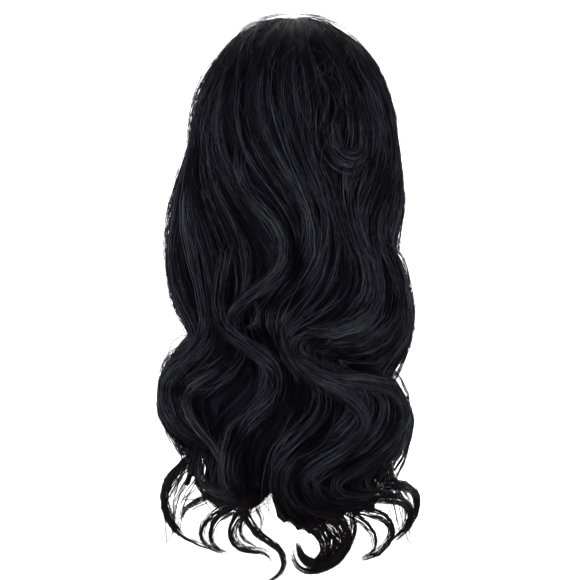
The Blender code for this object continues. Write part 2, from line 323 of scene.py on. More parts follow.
def back_path(turns):
    """The path of a lock of the back, from the parting to its tip."""
    seen = rounded(turns, SAMPLE)
    hanging, _ = on_back(seen[:, 0], seen[:, 1])
    below = hanging[len(hanging) // 12]
    azimuth = math.degrees(math.atan2(below[0], -below[1]))
    start = over_the_dome(root_direction(azimuth), direction_of(hanging[0]))
    return finished_path(np.concatenate([start[:-2], hanging[2:]]))


paths = {name: back_path(row[1:]) for name, row in BACK_LOCKS.items()}
print("lengths, mm:", {name: round(path["far"][-1]) for name, path in paths.items()})

# %% [markdown]
# ## Locks over the ears and beside the face
#
# The photograph hides these, so they are made as the same hair would fall: they swing forward and back while
# the outline swings in and out, a quarter of a wave apart, which gives each lock the corkscrew of a body
# wave. Their ends curl towards the back.

# %% Locks of the sides
WAVE_TURNS = {
    "left": ((-110, 0), (-205, 1), (-310, 2), (-374, 3), (-432, 4), (-467, 5), (-520, 6)),
    "right": ((-110, 0), (-180, 1), (-217, 2), (-277, 3), (-345, 4), (-392, 5), (-442, 6), (-475, 7),
              (-520, 8)),
}
SIDE_AZIMUTHS = (84, 93, 102, 111, 119, 125)
SWING, SWING_GROWTH = 7.0, 80
MOST_AZIMUTH = 128
SIDE_END, HAIRLINE_END = -488.0, -400.0
LATENESS, SIDE_CURL, CURL_TURN = 0.25, 26, 2.0


def side_path(side, azimuth, number):
    """The path of a lock over the ear or beside the face, from the parting to its tip."""
    sign = -1 if side == "left" else 1
    heights = np.arange(EQUATOR, SIDE_END, -SAMPLE)
    turns = np.array(WAVE_TURNS[side], float)
    late = LATENESS * (number % 3 - 1)
    phase = math.pi * (np.interp(heights, turns[::-1, 0], turns[::-1, 1]) + late)
    grown = np.clip((EQUATOR - heights) / SWING_GROWTH, 0, 1)
    turned = azimuth + SWING * grown * np.sin(phase)
    hanging, _ = on_side(sign * np.minimum(turned, MOST_AZIMUTH), heights)
    hook = np.linspace(0, 1, 22)[1:]
    last_turn = math.radians(sign * turned[-1])
    back = -sign * np.array([math.cos(last_turn), math.sin(last_turn), 0])
    curl = SIDE_CURL + 6 * (number % 2)
    drop = np.outer(curl * np.sin(hook * CURL_TURN), (0, 0, 1))
    tip = hanging[-1] + np.outer(curl * (1 - np.cos(hook * CURL_TURN)), back) - drop
    start = over_the_dome(root_direction(sign * azimuth), direction_of(hanging[0]))
    return finished_path(np.concatenate([start[:-3], hanging[3:], tip]))


for side in ("left", "right"):
    for number, azimuth in enumerate(SIDE_AZIMUTHS):
        paths[f"side_{side}_{number + 1}"] = side_path(side, azimuth, number)
round_the_head = (
    [f"side_left_{n}" for n in range(6, 0, -1)] + list(BACK_LOCKS) + [f"side_right_{n}" for n in range(1, 7)]
)
print(len(paths), "locks in all")

# %% [markdown]
# ## Locks that start at the hairline
#
# On a lace front the first rows of hair are tied into the lace itself. They rise off the forehead, lie over
# to the side and fall in front of the ear, and they are cut shorter there to frame the face. The photograph
# hides them too, so they follow the same fall as the locks behind them.

# %% Locks of the hairline
HAIRLINE_ROOTS = ((178, 61), (168, 63), (157, 66), (146, 71), (136, 80), (128, 88))
HAIRLINE_DEPTH = -17.0


def on_dome(azimuth, down):
    """A point in mm on the outside of the hair's dome, at an azimuth and an angle down from its top."""
    angle, down = math.radians(azimuth), math.radians(down)
    way = (math.sin(angle) * math.sin(down), -math.cos(angle) * math.sin(down), math.cos(down))
    return np.array([way[0] * (DOME_RIGHT if azimuth > 0 else DOME_LEFT),
                     way[1] * (DOME_BACK if way[1] < 0 else DOME_FRONT),
                     EQUATOR + way[2] * TOP_RISE])


def hairline_path(side, azimuth, down, number):
    """The path of a lock from the hairline, over to the side and down."""
    sign = -1 if side == "left" else 1
    fall = 119 + 1.2 * number
    over = [on_dome(sign * azimuth, down), on_dome(sign * (fall + 0.7 * (azimuth - fall)), down - 5),
            on_dome(sign * (fall + 0.3 * (azimuth - fall)), 0.6 * down + 28)]
    heights = np.arange(EQUATOR + 4, HAIRLINE_END, -SAMPLE)
    turns = np.array(WAVE_TURNS[side], float)
    phase = math.pi * np.interp(heights, turns[::-1, 0], turns[::-1, 1])
    grown = np.clip((EQUATOR - heights) / SWING_GROWTH, 0, 1)
    turned = fall + SWING * grown * np.sin(phase)
    hanging, _ = on_side(sign * np.minimum(turned, MOST_AZIMUTH), heights)
    path = finished_path(rounded([*over, *hanging[::12]], SAMPLE))
    path["raised"] = HAIRLINE_DEPTH * np.clip(1 - path["far"] / 55, 0, 1) ** 1.5 + 1
    path["wide"] = (np.interp(path["far"], (0, 60, 120), (9, 8, 6)),) * 2
    return path


hairline_paths = {}
for side in ("left", "right"):
    for number, (azimuth, down) in enumerate(HAIRLINE_ROOTS):
        hairline_paths[f"hairline_{side}_{number + 1}"] = hairline_path(side, azimuth, down, number)
print(len(hairline_paths), "locks at the hairline")

# %% [markdown]
# ## How wide each lock is
#
# Where two locks run apart, their hairs spread to fill the space. Where they meet, the hairs bunch up. So
# each lock gets its width from the distance to its neighbours, point by point, on each side of its line.

# %% Widths of the locks
LEAST_WIDTH, MOST_WIDTH, OUTERMOST_WIDTH = 4.0, 22.0, 6.0
OVERLAP = 1.12


def width_towards(path, other):
    """Half the distance to the nearest point of another path, in mm, for each point of a path."""
    if other is None:
        return np.full(len(path["far"]), OUTERMOST_WIDTH)
    near = np.array([np.linalg.norm(other["points"] - p, axis=1).min() for p in path["points"]])
    return softened(np.clip(near / 2 * OVERLAP, LEAST_WIDTH, MOST_WIDTH)[:, None], 10)[:, 0]


for place, name in enumerate(round_the_head):
    path = paths[name]
    before = paths[round_the_head[place - 1]] if place else None
    after = paths[round_the_head[place + 1]] if place + 1 < len(round_the_head) else None
    toward_after, toward_before = width_towards(path, after), width_towards(path, before)
    middle = len(path["far"]) // 2
    x, y, _ = path["points"][middle]
    grows_with_azimuth = path["across"][middle] @ np.array([-y, x, 0]) > 0
    narrowed = np.interp(path["far"] / path["far"][-1], (0.84, 1), (1, 0.4))
    path["wide"] = (toward_after * narrowed, toward_before * narrowed)
    if not grows_with_azimuth:
        path["wide"] = path["wide"][::-1]
    lift = BACK_LOCKS[name][0] if name in BACK_LOCKS else (2 if place % 2 else 0)
    path["raised"] = lift * np.clip(path["far"] / 120, 0, 1)
print("widest lock, mm:", round(float(max(w.max() for p in paths.values() for w in p["wide"])), 1))

# %% [markdown]
# ## From lines to tubes
#
# A hair is far thinner than a pixel here. What one sees is a wisp: a few dozen hairs that stick together.
# Each strand that we build is such a wisp, a closed tube with three sides that narrows to a point. Three
# sides are enough, because smooth shading rounds them. All the strands of one piece go into one mesh, which
# is written as arrays of numbers: adding them one at a time would take minutes.

# %% Strands as one mesh


class StrandMesh:
    """Collects tubes and writes them as one mesh."""

    def __init__(self, name):
        self.name, self.points, self.quads, self.caps, self.marks, self.count = name, [], [], [], [], 0

    def add(self, line, radii, out, tone):
        """A tube of three sides round a line of points in mm, with a radius at each point and one tone."""
        along = np.gradient(line, axis=0)
        along /= np.linalg.norm(along, axis=1, keepdims=True) + 1e-9
        side = np.cross(along, out)
        side /= np.linalg.norm(side, axis=1, keepdims=True) + 1e-9
        rise = np.cross(side, along)
        corners = [line + radii[:, None] * (math.cos(a) * side + math.sin(a) * rise)
                   for a in (math.pi / 2, math.pi * 7 / 6, math.pi * 11 / 6)]
        self.points.append(np.stack(corners, 1).reshape(-1, 3))
        k = len(line)
        self.marks.append(np.repeat(np.stack([np.zeros(k) + tone, np.linspace(0, 1, k)], -1), 3, 0))
        ring = self.count + 3 * np.arange(k - 1)[:, None]
        for a, b in ((0, 1), (1, 2), (2, 0)):
            self.quads.append(np.concatenate([ring + a, ring + b, ring + b + 3, ring + a + 3], 1))
        last = self.count + 3 * (k - 1)
        self.caps += [(self.count + 2, self.count + 1, self.count), (last, last + 1, last + 2)]
        self.count += 3 * k

    def build(self, material):
        """The mesh as an object. Its UV map holds each strand's tone and the place along it."""
        points = np.concatenate(self.points) * MM
        quads, caps = np.concatenate(self.quads), np.array(self.caps)
        mesh = bpy.data.meshes.new(self.name)
        mesh.vertices.add(len(points))
        mesh.vertices.foreach_set("co", points.astype(np.float32).ravel())
        mesh.loops.add(quads.size + caps.size)
        corners = np.concatenate([quads.ravel(), caps.ravel()]).astype(np.int32)
        mesh.loops.foreach_set("vertex_index", corners)
        mesh.polygons.add(len(quads) + len(caps))
        starts = np.concatenate([4 * np.arange(len(quads)), quads.size + 3 * np.arange(len(caps))])
        mesh.polygons.foreach_set("loop_start", starts.astype(np.int32))
        mesh.update(calc_edges=True)
        marks = np.concatenate(self.marks)[corners].astype(np.float32)
        mesh.uv_layers.new(name="tone_and_length").uv.foreach_set("vector", marks.ravel())
        mesh.shade_smooth()
        mesh.materials.append(material)
        thing = bpy.data.objects.new(self.name, mesh)
        scene.collection.objects.link(thing)
        triangles = 2 * len(quads) + len(caps)
        print(self.name, "has", len(self.caps) // 2, "strands and", triangles, "triangles")
        return thing


# %% [markdown]
# ## The finishes
#
# Black hair is nearly black in the shade and shows its waves only by its sheen, which is soft and a little
# blue. Part of that shade and sheen is painted into the strands' colour. Towards the tips the colour turns to a
# dark brown. A noise stretched along the hair breaks up the colour, so that no two strands look quite alike.
# The cap and the lace are plain net, dull and dark or skin brown.

# %% Colours of the hair, and helpers for node trees
HAIR_BLACK = (0.0030, 0.0029, 0.0066, 1)
# HAIR_LIT is a painted highlight: strands with a high tone take this lit grey, as if they caught the lamps.
HAIR_LIT = (0.1500, 0.1520, 0.1950, 1)
# UNDER_LIT is the lightest colour of the hair underneath, painted far darker than the strands' lit grey:
# painted shade.
UNDER_LIT = (0.0130, 0.0127, 0.0200, 1)
TIP_BROWN = (0.011, 0.007, 0.008, 1)
TIPS_FROM, TIPS_TO, TIPS_SHARE = -0.43, -0.51, 0.85


def new_finish(name, roughness, specular):
    """A material with its shader's roughness and specular level set, and its tree of nodes."""
    finish = bpy.data.materials.new(name)
    finish.use_nodes = True
    shader = finish.node_tree.nodes["Principled BSDF"]
    shader.inputs["Roughness"].default_value = roughness
    shader.inputs["Specular IOR Level"].default_value = specular
    return finish, finish.node_tree, shader


def add_node(tree, kind, settings=(), **inputs):
    """A node with its settings and the values of its inputs."""
    node = tree.nodes.new("ShaderNode" + kind)
    for name, value in dict(settings).items():
        setattr(node, name, value)
    for name, value in inputs.items():
        node.inputs[name.replace("_", " ")].default_value = value
    return node


def mixed(tree, factor, first, second):
    """A colour between two: each is a colour or another node's output."""
    mix = add_node(tree, "Mix", {"data_type": "RGBA"})
    tree.links.new(factor, mix.inputs["Factor"])
    for name, value in (("A", first), ("B", second)):
        if isinstance(value, tuple):
            mix.inputs[name].default_value = value
        else:
            tree.links.new(value, mix.inputs[name])
    return mix.outputs["Result"]


def tip_share(tree, where):
    """How far a place is towards the tips, from 0 above to 1 at the bottom."""
    split = add_node(tree, "SeparateXYZ")
    low = add_node(tree, "MapRange", From_Min=TIPS_FROM, From_Max=TIPS_TO, To_Max=TIPS_SHARE)
    tree.links.new(where.outputs["Object"], split.inputs["Vector"])
    tree.links.new(split.outputs["Z"], low.inputs["Value"])
    return low.outputs["Result"]


print("hair from", HAIR_BLACK[:3], "to", HAIR_LIT[:3])

# %% [markdown]
# ## The strands' finish
#
# Each strand carries its own tone in its UV map, from chance and from the shade where it lies. The shader reads
# that tone, breaks it up with a soft noise and mixes black with a lit grey: the grey is a painted highlight,
# and the darker tones are painted shade. Blender has a shader of its own for hair, but it is made for single
# hairs drawn as curves, and these strands are meshes of many hairs each.

# %% The strands' finish


def strand_colours():
    """Black strands, about one in four of them a lighter grey as a painted highlight, darkened by painted
    shade, with brown tips.
    """
    finish, tree, shader = new_finish("hair_strands", 0.42, 0.09)
    where = add_node(tree, "TexCoord")
    own = add_node(tree, "SeparateXYZ")
    tone = add_node(tree, "MapRange", {"interpolation_type": "SMOOTHSTEP"}, From_Min=0.2, From_Max=1.15)
    patches = add_node(tree, "TexNoise", Scale=60.0, Detail=2.0)
    patch_share = add_node(tree, "MapRange", From_Min=0.38, From_Max=0.62, To_Min=0.55, To_Max=1.0)
    both = add_node(tree, "Math", {"operation": "MULTIPLY"})
    link = tree.links.new
    link(where.outputs["UV"], own.inputs["Vector"])
    link(own.outputs["X"], tone.inputs["Value"])
    link(where.outputs["Object"], patches.inputs["Vector"])
    link(patches.outputs["Fac"], patch_share.inputs["Value"])
    link(tone.outputs["Result"], both.inputs[0])
    link(patch_share.outputs["Result"], both.inputs[1])
    hair = mixed(tree, both.outputs["Value"], HAIR_BLACK, HAIR_LIT)
    link(mixed(tree, tip_share(tree, where), hair, TIP_BROWN), shader.inputs["Base Color"])
    return finish


strand_finish = strand_colours()
print("finish:", strand_finish.name)

# %% [markdown]
# ## The finish of the hair underneath
#
# It lies in the shade between the strands, so its colour is painted darker than theirs, as painted shade, and
# its finish is duller. Fine streaks along its length, in colour and in relief, keep the solid cores from
# looking like plastic where a slit shows them.

# %% The finish of the hair underneath


def underneath_colours():
    """The same hair in the shade: fine streaks along its length, in colour and in relief."""
    finish, tree, shader = new_finish("hair_underneath", 0.60, 0.04)
    where = add_node(tree, "TexCoord")
    along = add_node(tree, "Mapping", Scale=(1.3, 0.014, 1.0))
    streaks = add_node(tree, "TexNoise", Scale=1.0, Detail=3.0)
    sharper = add_node(tree, "MapRange", From_Min=0.42, From_Max=0.68)
    bump = add_node(tree, "Bump", Strength=1.0, Distance=0.001)
    link = tree.links.new
    link(where.outputs["UV"], along.inputs["Vector"])
    link(along.outputs["Vector"], streaks.inputs["Vector"])
    link(streaks.outputs["Fac"], sharper.inputs["Value"])
    link(streaks.outputs["Fac"], bump.inputs["Height"])
    link(bump.outputs["Normal"], shader.inputs["Normal"])
    link(mixed(tree, sharper.outputs["Result"], HAIR_BLACK, UNDER_LIT), shader.inputs["Base Color"])
    return finish


under_finish = underneath_colours()
print("finish:", under_finish.name)

# %% [markdown]
# ## The cap
#
# Under the hair is a cap of black stretch net that is sewn from panels. Rows of wefts, which are hairs sewn
# to a tape, cross the back of it, and a narrow tape binds its edge round the nape and the ears. It fits the
# head, so it could be pulled over a head shape by simulation. It is plainer to compute: a stretched net lies
# where the head is. We make it as one closed sheet with the weft rows and the seams as low ridges on its
# inside.

# %% Places on the cap
HEAD_HALF_WIDTH, HEAD_HALF_LENGTH, HEAD_CROWN_HEIGHT = 76.5, 95.0, 110.0
CAP_WALL = 1.5
NET_THICKNESS = 0.6
NET_OUTSIDE = CAP_WALL - 0.3
HEAD_ARC_RADIUS = 98
CAP_EDGE = {
    "azimuth": (0, 35, 62, 84, 100, 116, 128, 145, 162, 180),
    "down": (112, 110, 104, 88, 88, 97, 88, 72, 64, 61),
}
LACE_REACH = {"azimuth": (116, 128, 145, 180), "down": (1, 7, 9, 11)}


def table_value(table, azimuth):
    """A smoothed value of a small table, in degrees."""
    dense = np.arange(0, 181.0)
    values = np.interp(dense, table["azimuth"], table["down"])
    padded = np.concatenate([values[8:0:-1], values, values[-2:-10:-1]])
    window = np.hanning(19)[1:-1]
    return np.interp(np.abs(azimuth), dense, np.convolve(padded, window / window.sum(), mode="valid"))


def on_head(azimuth, down, outward):
    """Points in mm off the head's surface by a distance, for azimuths and angles down from the crown."""
    angle, down = np.radians(azimuth), np.radians(down)
    ring = np.sin(down)
    return np.stack([(HEAD_HALF_WIDTH + outward) * ring * np.sin(angle),
                     -(HEAD_HALF_LENGTH + outward) * ring * np.cos(angle),
                     EQUATOR + (HEAD_CROWN_HEIGHT + outward) * np.cos(down)], -1)


def away_from_head(points):
    """Unit directions from the middle of the head to points in mm."""
    outward = points - (0, 0, EQUATOR)
    return outward / np.linalg.norm(outward, axis=1, keepdims=True)


print("nape edge of the cap, mm:", on_head(0.0, table_value(CAP_EDGE, 0.0), CAP_WALL).round(0))

# %% The finishes of cap and lace


def net_colours(name, thread, hole, cells, roughness):
    """A net: threads round small holes, drawn by two crossing waves along the two ways of the cloth."""
    finish, tree, shader = new_finish(name, roughness, 0.2)
    where = add_node(tree, "TexCoord")
    turned = add_node(tree, "Mapping", Rotation=(0, 0, math.pi / 4), Scale=(cells, cells, cells))
    link = tree.links.new
    link(where.outputs["UV"], turned.inputs["Vector"])
    waves = []
    for direction in ("X", "Y"):
        wave = add_node(tree, "TexWave", {"bands_direction": direction}, Scale=1.0, Distortion=0.4)
        link(turned.outputs["Vector"], wave.inputs["Vector"])
        waves.append(wave.outputs["Fac"])
    either = add_node(tree, "Math", {"operation": "MAXIMUM"})
    link(waves[0], either.inputs[0])
    link(waves[1], either.inputs[1])
    bump = add_node(tree, "Bump", Strength=0.6, Distance=0.0003)
    link(either.outputs["Value"], bump.inputs["Height"])
    link(bump.outputs["Normal"], shader.inputs["Normal"])
    link(mixed(tree, either.outputs["Value"], hole, thread), shader.inputs["Base Color"])
    return finish


net_finish = net_colours("cap_stretch_net", (0.020, 0.020, 0.022, 1), (0.004, 0.004, 0.005, 1), 0.28, 0.8)
tape_finish = net_colours("cap_edge_tape", (0.016, 0.016, 0.018, 1), (0.006, 0.006, 0.007, 1), 0.6, 0.65)
lace_finish = net_colours("lace_thread", (0.30, 0.18, 0.11, 1), (0.20, 0.11, 0.07, 1), 0.9, 0.7)
print("net finishes:", net_finish.name, tape_finish.name, lace_finish.name)

# %% Sheets, and the ridges on the cap's inside
WEFT_SPACING, WEFT_HEIGHT = 11.0, 0.45
SEAM_HEIGHT = 0.35


def sheet_object(name, points, faces, marks, material, marks_name="cloth_mm"):
    """A mesh from points in mm, with a UV mark for each point, that rides on the wig's body."""
    mesh = bpy.data.meshes.new(name)
    mesh.from_pydata((np.asarray(points) * MM).tolist(), [], faces)
    spots = np.empty(len(mesh.loops), np.int32)
    mesh.loops.foreach_get("vertex_index", spots)
    layer = mesh.uv_layers.new(name=marks_name)
    layer.uv.foreach_set("vector", np.asarray(marks)[spots].astype(np.float32).ravel())
    mesh.shade_smooth()
    mesh.materials.append(material)
    thing = bpy.data.objects.new(name, mesh)
    scene.collection.objects.link(thing)
    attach(thing, "root")
    return thing


def cap_ridges(azimuth, arc):
    """How far the weft rows and the two seams rise on the inside of the net, in mm."""
    row = np.abs((arc / WEFT_SPACING) % 1 - 0.5) * WEFT_SPACING
    behind = np.clip((112 - np.abs(azimuth)) / 6, 0, 1) * np.clip((arc - 40) / 8, 0, 1)
    wefts = WEFT_HEIGHT * np.exp(-(row / 1.2) ** 2) * behind
    turned = np.radians(azimuth)
    to_seam = np.minimum(np.abs(np.sin(turned)), np.abs(np.cos(turned))) * arc
    return np.maximum(wefts, SEAM_HEIGHT * np.exp(-(to_seam / 1.5) ** 2))


print("a weft row rises by", cap_ridges(0.0, 60.5).round(2), "mm")

# %% The cap's net
NET_COLUMNS, NET_ROWS = 96, 60
net_azimuths = np.linspace(-180, 180, NET_COLUMNS, endpoint=False)
net_edge = table_value(CAP_EDGE, net_azimuths)
rings_out, rings_in, net_marks = [], [], []
for share in np.linspace(0, 1, NET_ROWS)[1:]:
    downs = net_edge * share
    arc = downs * math.pi / 180 * HEAD_ARC_RADIUS
    turned = np.radians(net_azimuths)
    rings_out.append(on_head(net_azimuths, downs, NET_OUTSIDE))
    rings_in.append(on_head(net_azimuths, downs, NET_OUTSIDE - NET_THICKNESS - cap_ridges(net_azimuths, arc)))
    net_marks.append(np.stack([np.sin(turned) * arc, np.cos(turned) * arc], -1))
crown_out, crown_in = on_head(0.0, 0.0, NET_OUTSIDE), on_head(0.0, 0.0, NET_OUTSIDE - NET_THICKNESS)
net_points = np.concatenate([*rings_out, *rings_in, [crown_out, crown_in]])
net_marks = np.concatenate([*net_marks, *net_marks, [(0, 0), (0, 0)]])
ring_count = NET_ROWS - 1
inner_start = ring_count * NET_COLUMNS
net_faces = []
for c in range(NET_COLUMNS):
    d = (c + 1) % NET_COLUMNS
    net_faces.append((len(net_points) - 2, c, d))
    net_faces.append((len(net_points) - 1, inner_start + d, inner_start + c))
    for r in range(ring_count - 1):
        a, b = r * NET_COLUMNS, (r + 1) * NET_COLUMNS
        net_faces.append((a + c, b + c, b + d, a + d))
        net_faces.append((inner_start + a + d, inner_start + b + d, inner_start + b + c, inner_start + a + c))
    rim = (ring_count - 1) * NET_COLUMNS
    net_faces.append((rim + c, inner_start + rim + c, inner_start + rim + d, rim + d))
cap_net = sheet_object("cap_net", net_points, net_faces, net_marks, net_finish)
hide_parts("cap_back_left", "cap_back_right", "cap_front_left", "cap_front_right")
print("cap net:", len(net_points), "points")

# %% [markdown]
# ## The tape at the cap's edge
#
# A narrow tape binds the net round the nape and the ears, so that it doesn't fray or cut into the skin. It is
# sewn on. Five thin rolls side by side make its ribbed band. A cap is sewn from panels, and we don't know its
# pattern.

# %% The tape round the nape and the ears
TAPE_WIDTH, TAPE_RADIUS, TAPE_LIFT = 4.0, 0.62, 0.55
tape = StrandMesh("cap_edge_tape")
tape_azimuths = np.linspace(-118, 118, 180)
tape_downs = table_value(CAP_EDGE, tape_azimuths)
for level in np.linspace(-TAPE_WIDTH, 0.0, 5):
    line = on_head(tape_azimuths, tape_downs + np.degrees(level / HEAD_HALF_LENGTH), TAPE_LIFT)
    tape.add(line, np.full(len(line), TAPE_RADIUS), away_from_head(line), 0.5)
cap_tape = tape.build(tape_finish)
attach(cap_tape, "root")

# %% [markdown]
# ## The lace front
#
# In front of the net is a strip of sheer lace, from ear tab to ear tab. The hairs at the hairline are tied
# into it one by one. Lace this thin is seldom modelled. But its holes are larger than its threads, and a
# strip of see-through material would lose them, so we make the threads: two slanting families that cross in
# diamonds.

# %% The lace's threads
LACE_SPACING, LACE_THREAD, LACE_SLANT = 1.0, 0.14, 1.2
LACE_LIFT = CAP_WALL - 0.6
LACE_FROM, LACE_TO = 117.0, 243.0
LACE_TAB = 116
lace = StrandMesh("lace_net")


def signed(azimuth):
    """The same azimuth between -180 and 180 degrees: the lace runs across 180, the middle of the front."""
    return (azimuth + 180) % 360 - 180


def lace_point(azimuth, share):
    """Points of the lace, from the cap's edge (0) to the lace's own edge (1)."""
    start = table_value(CAP_EDGE, azimuth)
    reach = table_value(LACE_REACH, np.maximum(np.abs(azimuth), LACE_TAB))
    return on_head(azimuth, start + 0.4 + reach * share, LACE_LIFT)


def add_thread(azimuths, shares):
    """One thread of the lace through places on it."""
    line = lace_point(signed(azimuths), shares)
    lace.add(line, np.full(len(line), LACE_THREAD), away_from_head(line), 0.5)


lace_round = np.arange(LACE_FROM, LACE_TO, 0.25)
lace_steps = np.gradient(lace_point(signed(lace_round), 0.5), axis=0)
lace_lengths = np.cumsum(np.linalg.norm(lace_steps, axis=1))
starts = np.interp(np.arange(0, lace_lengths[-1], LACE_SPACING * math.sqrt(2)), lace_lengths, lace_round)
shares = np.linspace(0, 1, 6)
for start in starts:
    reach_here = float(table_value(LACE_REACH, abs(signed(start))))
    for slant in (-1, 1):
        azimuths = start + slant * shares * reach_here * LACE_SLANT
        inside = (azimuths > LACE_FROM - 0.5) & (azimuths < LACE_TO + 0.5)
        if inside.sum() > 2:
            add_thread(azimuths[inside], shares[inside])
for share in (0.0, 1.0):
    add_thread(np.linspace(LACE_FROM, LACE_TO, 120), np.full(120, share))
lace_net = lace.build(lace_finish)
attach(lace_net, "root")
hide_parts("lace_front")

# %% [markdown]
# ## What the lace is cut from
#
# Lace is cut from a flat piece. Its length and its greatest width are those of the strip that the threads
# fill, measured between its two edges and not on the threads, so that the sheet's check compares two separate
# things.

# %% [markdown]
# ## The hair underneath
#
# Between the strands one must not look through the wig. What lies deeper is dark and is seen only in slits,
# so it needs no strands: a thin wall hangs behind the locks, another lies over the cap, and each lock gets a
# solid core. First we say how thick the hair is along a lock, where the hem is, and how to close a wall
# between two grids.

# %% Thickness, hem and walls
HEM_ROWS = ((-128, -405), (-112, -418), (-99, -436), (-95, -454), (-86, -464), (-69, -470), (-51, -471),
            (-37, -468), (-27, -458), (-22, -464), (-17, -481), (-7, -489), (6, -492), (19, -494), (36, -485),
            (58, -481), (76, -479), (86, -472), (94, -466), (103, -458), (112, -444), (128, -428))
hem_rows = np.array(HEM_ROWS, float)
HEM_REACH = 130
HEAD_BEND = 230
core_points, core_faces, core_marks = [], [], []


def hair_depth(path):
    """How thick the hair is along a path, in mm: thin at the parting and the tips."""
    height = path["points"][:, 2]
    dome = 7 + 12 * np.clip((60 - (height - EQUATOR)) / 110 + 0.35, 0, 1)
    hanging = np.interp(height, (-545, -470, -430, -200, EQUATOR), (9, 13, 19, 23, 19))
    return np.where(height > EQUATOR, dome, hanging)


def add_grid(outer, inner, marks):
    """A closed wall between two grids of points: the same rows and columns, outside and inside."""
    first = sum(len(p) for p in core_points)
    rows, columns = outer.shape[:2]
    size = rows * columns
    core_points.extend([outer.reshape(-1, 3), inner.reshape(-1, 3)])
    core_marks.extend([marks.reshape(-1, 2)] * 2)

    def n(r, c, layer):
        return first + layer * size + r * columns + c

    for r in range(rows - 1):
        for c in range(columns - 1):
            core_faces.append((n(r, c, 0), n(r, c + 1, 0), n(r + 1, c + 1, 0), n(r + 1, c, 0)))
            core_faces.append((n(r, c, 1), n(r + 1, c, 1), n(r + 1, c + 1, 1), n(r, c + 1, 1)))
    last = rows - 1
    for c in range(columns - 1):
        core_faces.append((n(0, c + 1, 0), n(0, c, 0), n(0, c, 1), n(0, c + 1, 1)))
        core_faces.append((n(last, c, 0), n(last, c + 1, 0), n(last, c + 1, 1), n(last, c, 1)))
    last = columns - 1
    for r in range(rows - 1):
        core_faces.append((n(r, 0, 0), n(r + 1, 0, 0), n(r + 1, 0, 1), n(r, 0, 1)))
        core_faces.append((n(r + 1, last, 0), n(r, last, 0), n(r, last, 1), n(r + 1, last, 1)))


print("the hem hangs at", max(z for _, z in HEM_ROWS), "to", min(z for _, z in HEM_ROWS), "mm")

# %% [markdown]
# ## The wall behind the hanging hair
#
# It follows the wavy surface a centimetre inside it, from ear to ear round the back, and ends in a ragged
# line a little above the hem. Below that line the curls hang free and the light comes through them.

# %% The wall behind the hanging hair
CURTAIN_EDGE, CURTAIN_COLUMNS, CURTAIN_ROWS = 122, 80, 52
CURTAIN_RISE, SIDE_THINNING = 20, 4.5
curtain_azimuths = np.linspace(-CURTAIN_EDGE, CURTAIN_EDGE, CURTAIN_COLUMNS)
hem_rag = chance.normal(0, 3.5, CURTAIN_COLUMNS)
across = HEM_REACH * np.sin(np.radians(curtain_azimuths))
hem = np.interp(across, hem_rows[:, 0], hem_rows[:, 1]) + hem_rag
at_the_side = np.clip((np.abs(curtain_azimuths) - 62) / 14, 0, 1)
outer_rows, inner_rows, mark_rows = [], [], []
for step in np.linspace(0, 1, CURTAIN_ROWS):
    heights = EQUATOR + CURTAIN_RISE + (hem - EQUATOR - CURTAIN_RISE) * step
    surface, outward = on_side(curtain_azimuths, heights)
    level = outward * (1, 1, 0)
    depth = np.interp(heights, (-480, -420, -300, EQUATOR + CURTAIN_RISE), (10, 9, 9, 8))
    depth = (depth - SIDE_THINNING * at_the_side)[:, None]
    wall = np.interp(heights, (-490, -450, -300, EQUATOR + CURTAIN_RISE), (2, 5, 8, 9))[:, None]
    outer_rows.append(surface - level * depth)
    inner_rows.append(surface - level * (depth + wall))
    mark_rows.append(np.stack([curtain_azimuths * 2, -heights], -1))
add_grid(np.array(outer_rows), np.array(inner_rows), np.array(mark_rows))
print("wall behind the hanging hair:", CURTAIN_ROWS * CURTAIN_COLUMNS * 2, "points")

# %% [markdown]
# ## The wall over the cap
#
# Over the head the hair is combed flat on the cap. The wall fills the space from just above the net to just
# below the strands, and thins out to nothing towards the hairline, where one sees single roots in the lace.

# %% The wall over the cap
DOME_ROWS, DOME_COLUMNS, DOME_INSET = 22, 91, 6.5
CAP_TOP = (79.6, 98.1, 113.1)
dome_azimuths = np.linspace(-180, 180, DOME_COLUMNS)
edge_down = np.interp(np.abs(dome_azimuths), (0, 127, 134, 150, 165, 180), (90, 90, 80, 69, 63, 61))
angle = np.radians(dome_azimuths)
sizes = (np.where(angle < 0, DOME_LEFT, DOME_RIGHT), np.where(np.cos(angle) > 0, DOME_BACK + 1, DOME_FRONT),
         np.full(DOME_COLUMNS, TOP_RISE))
outer_rows, inner_rows, mark_rows = [], [], []
for share in np.linspace(0.02, 1, DOME_ROWS):
    down = np.radians(edge_down * share)
    way = np.stack([np.sin(angle) * np.sin(down), -np.cos(angle) * np.sin(down), np.cos(down)], -1)
    thin = np.where(np.abs(dome_azimuths) > 127, share**3, 0)[:, None]
    surface = way * (np.stack(sizes, -1) - DOME_INSET) + (0, 0, EQUATOR)
    cap_surface = way * CAP_TOP + (0, 0, EQUATOR)
    outer_rows.append(surface * (1 - thin) + (cap_surface + way * 3) * thin)
    inner_rows.append(cap_surface)
    mark_rows.append(np.stack([dome_azimuths * 1.8 * share, down * 100], -1))
add_grid(np.array(outer_rows), np.array(inner_rows), np.array(mark_rows))
print("wall over the cap:", DOME_ROWS * DOME_COLUMNS * 2, "points")

# %% [markdown]
# ## A core for each lock
#
# A core is a flattened tube along the lock's own line and as wide as the lock, so the waves have depth where
# two locks part. The cores overlap, and they stop before the tips. A sweep along a curve object would give a
# round tube; placing the ring's points ourselves lets it be flat, and lower at its edges.

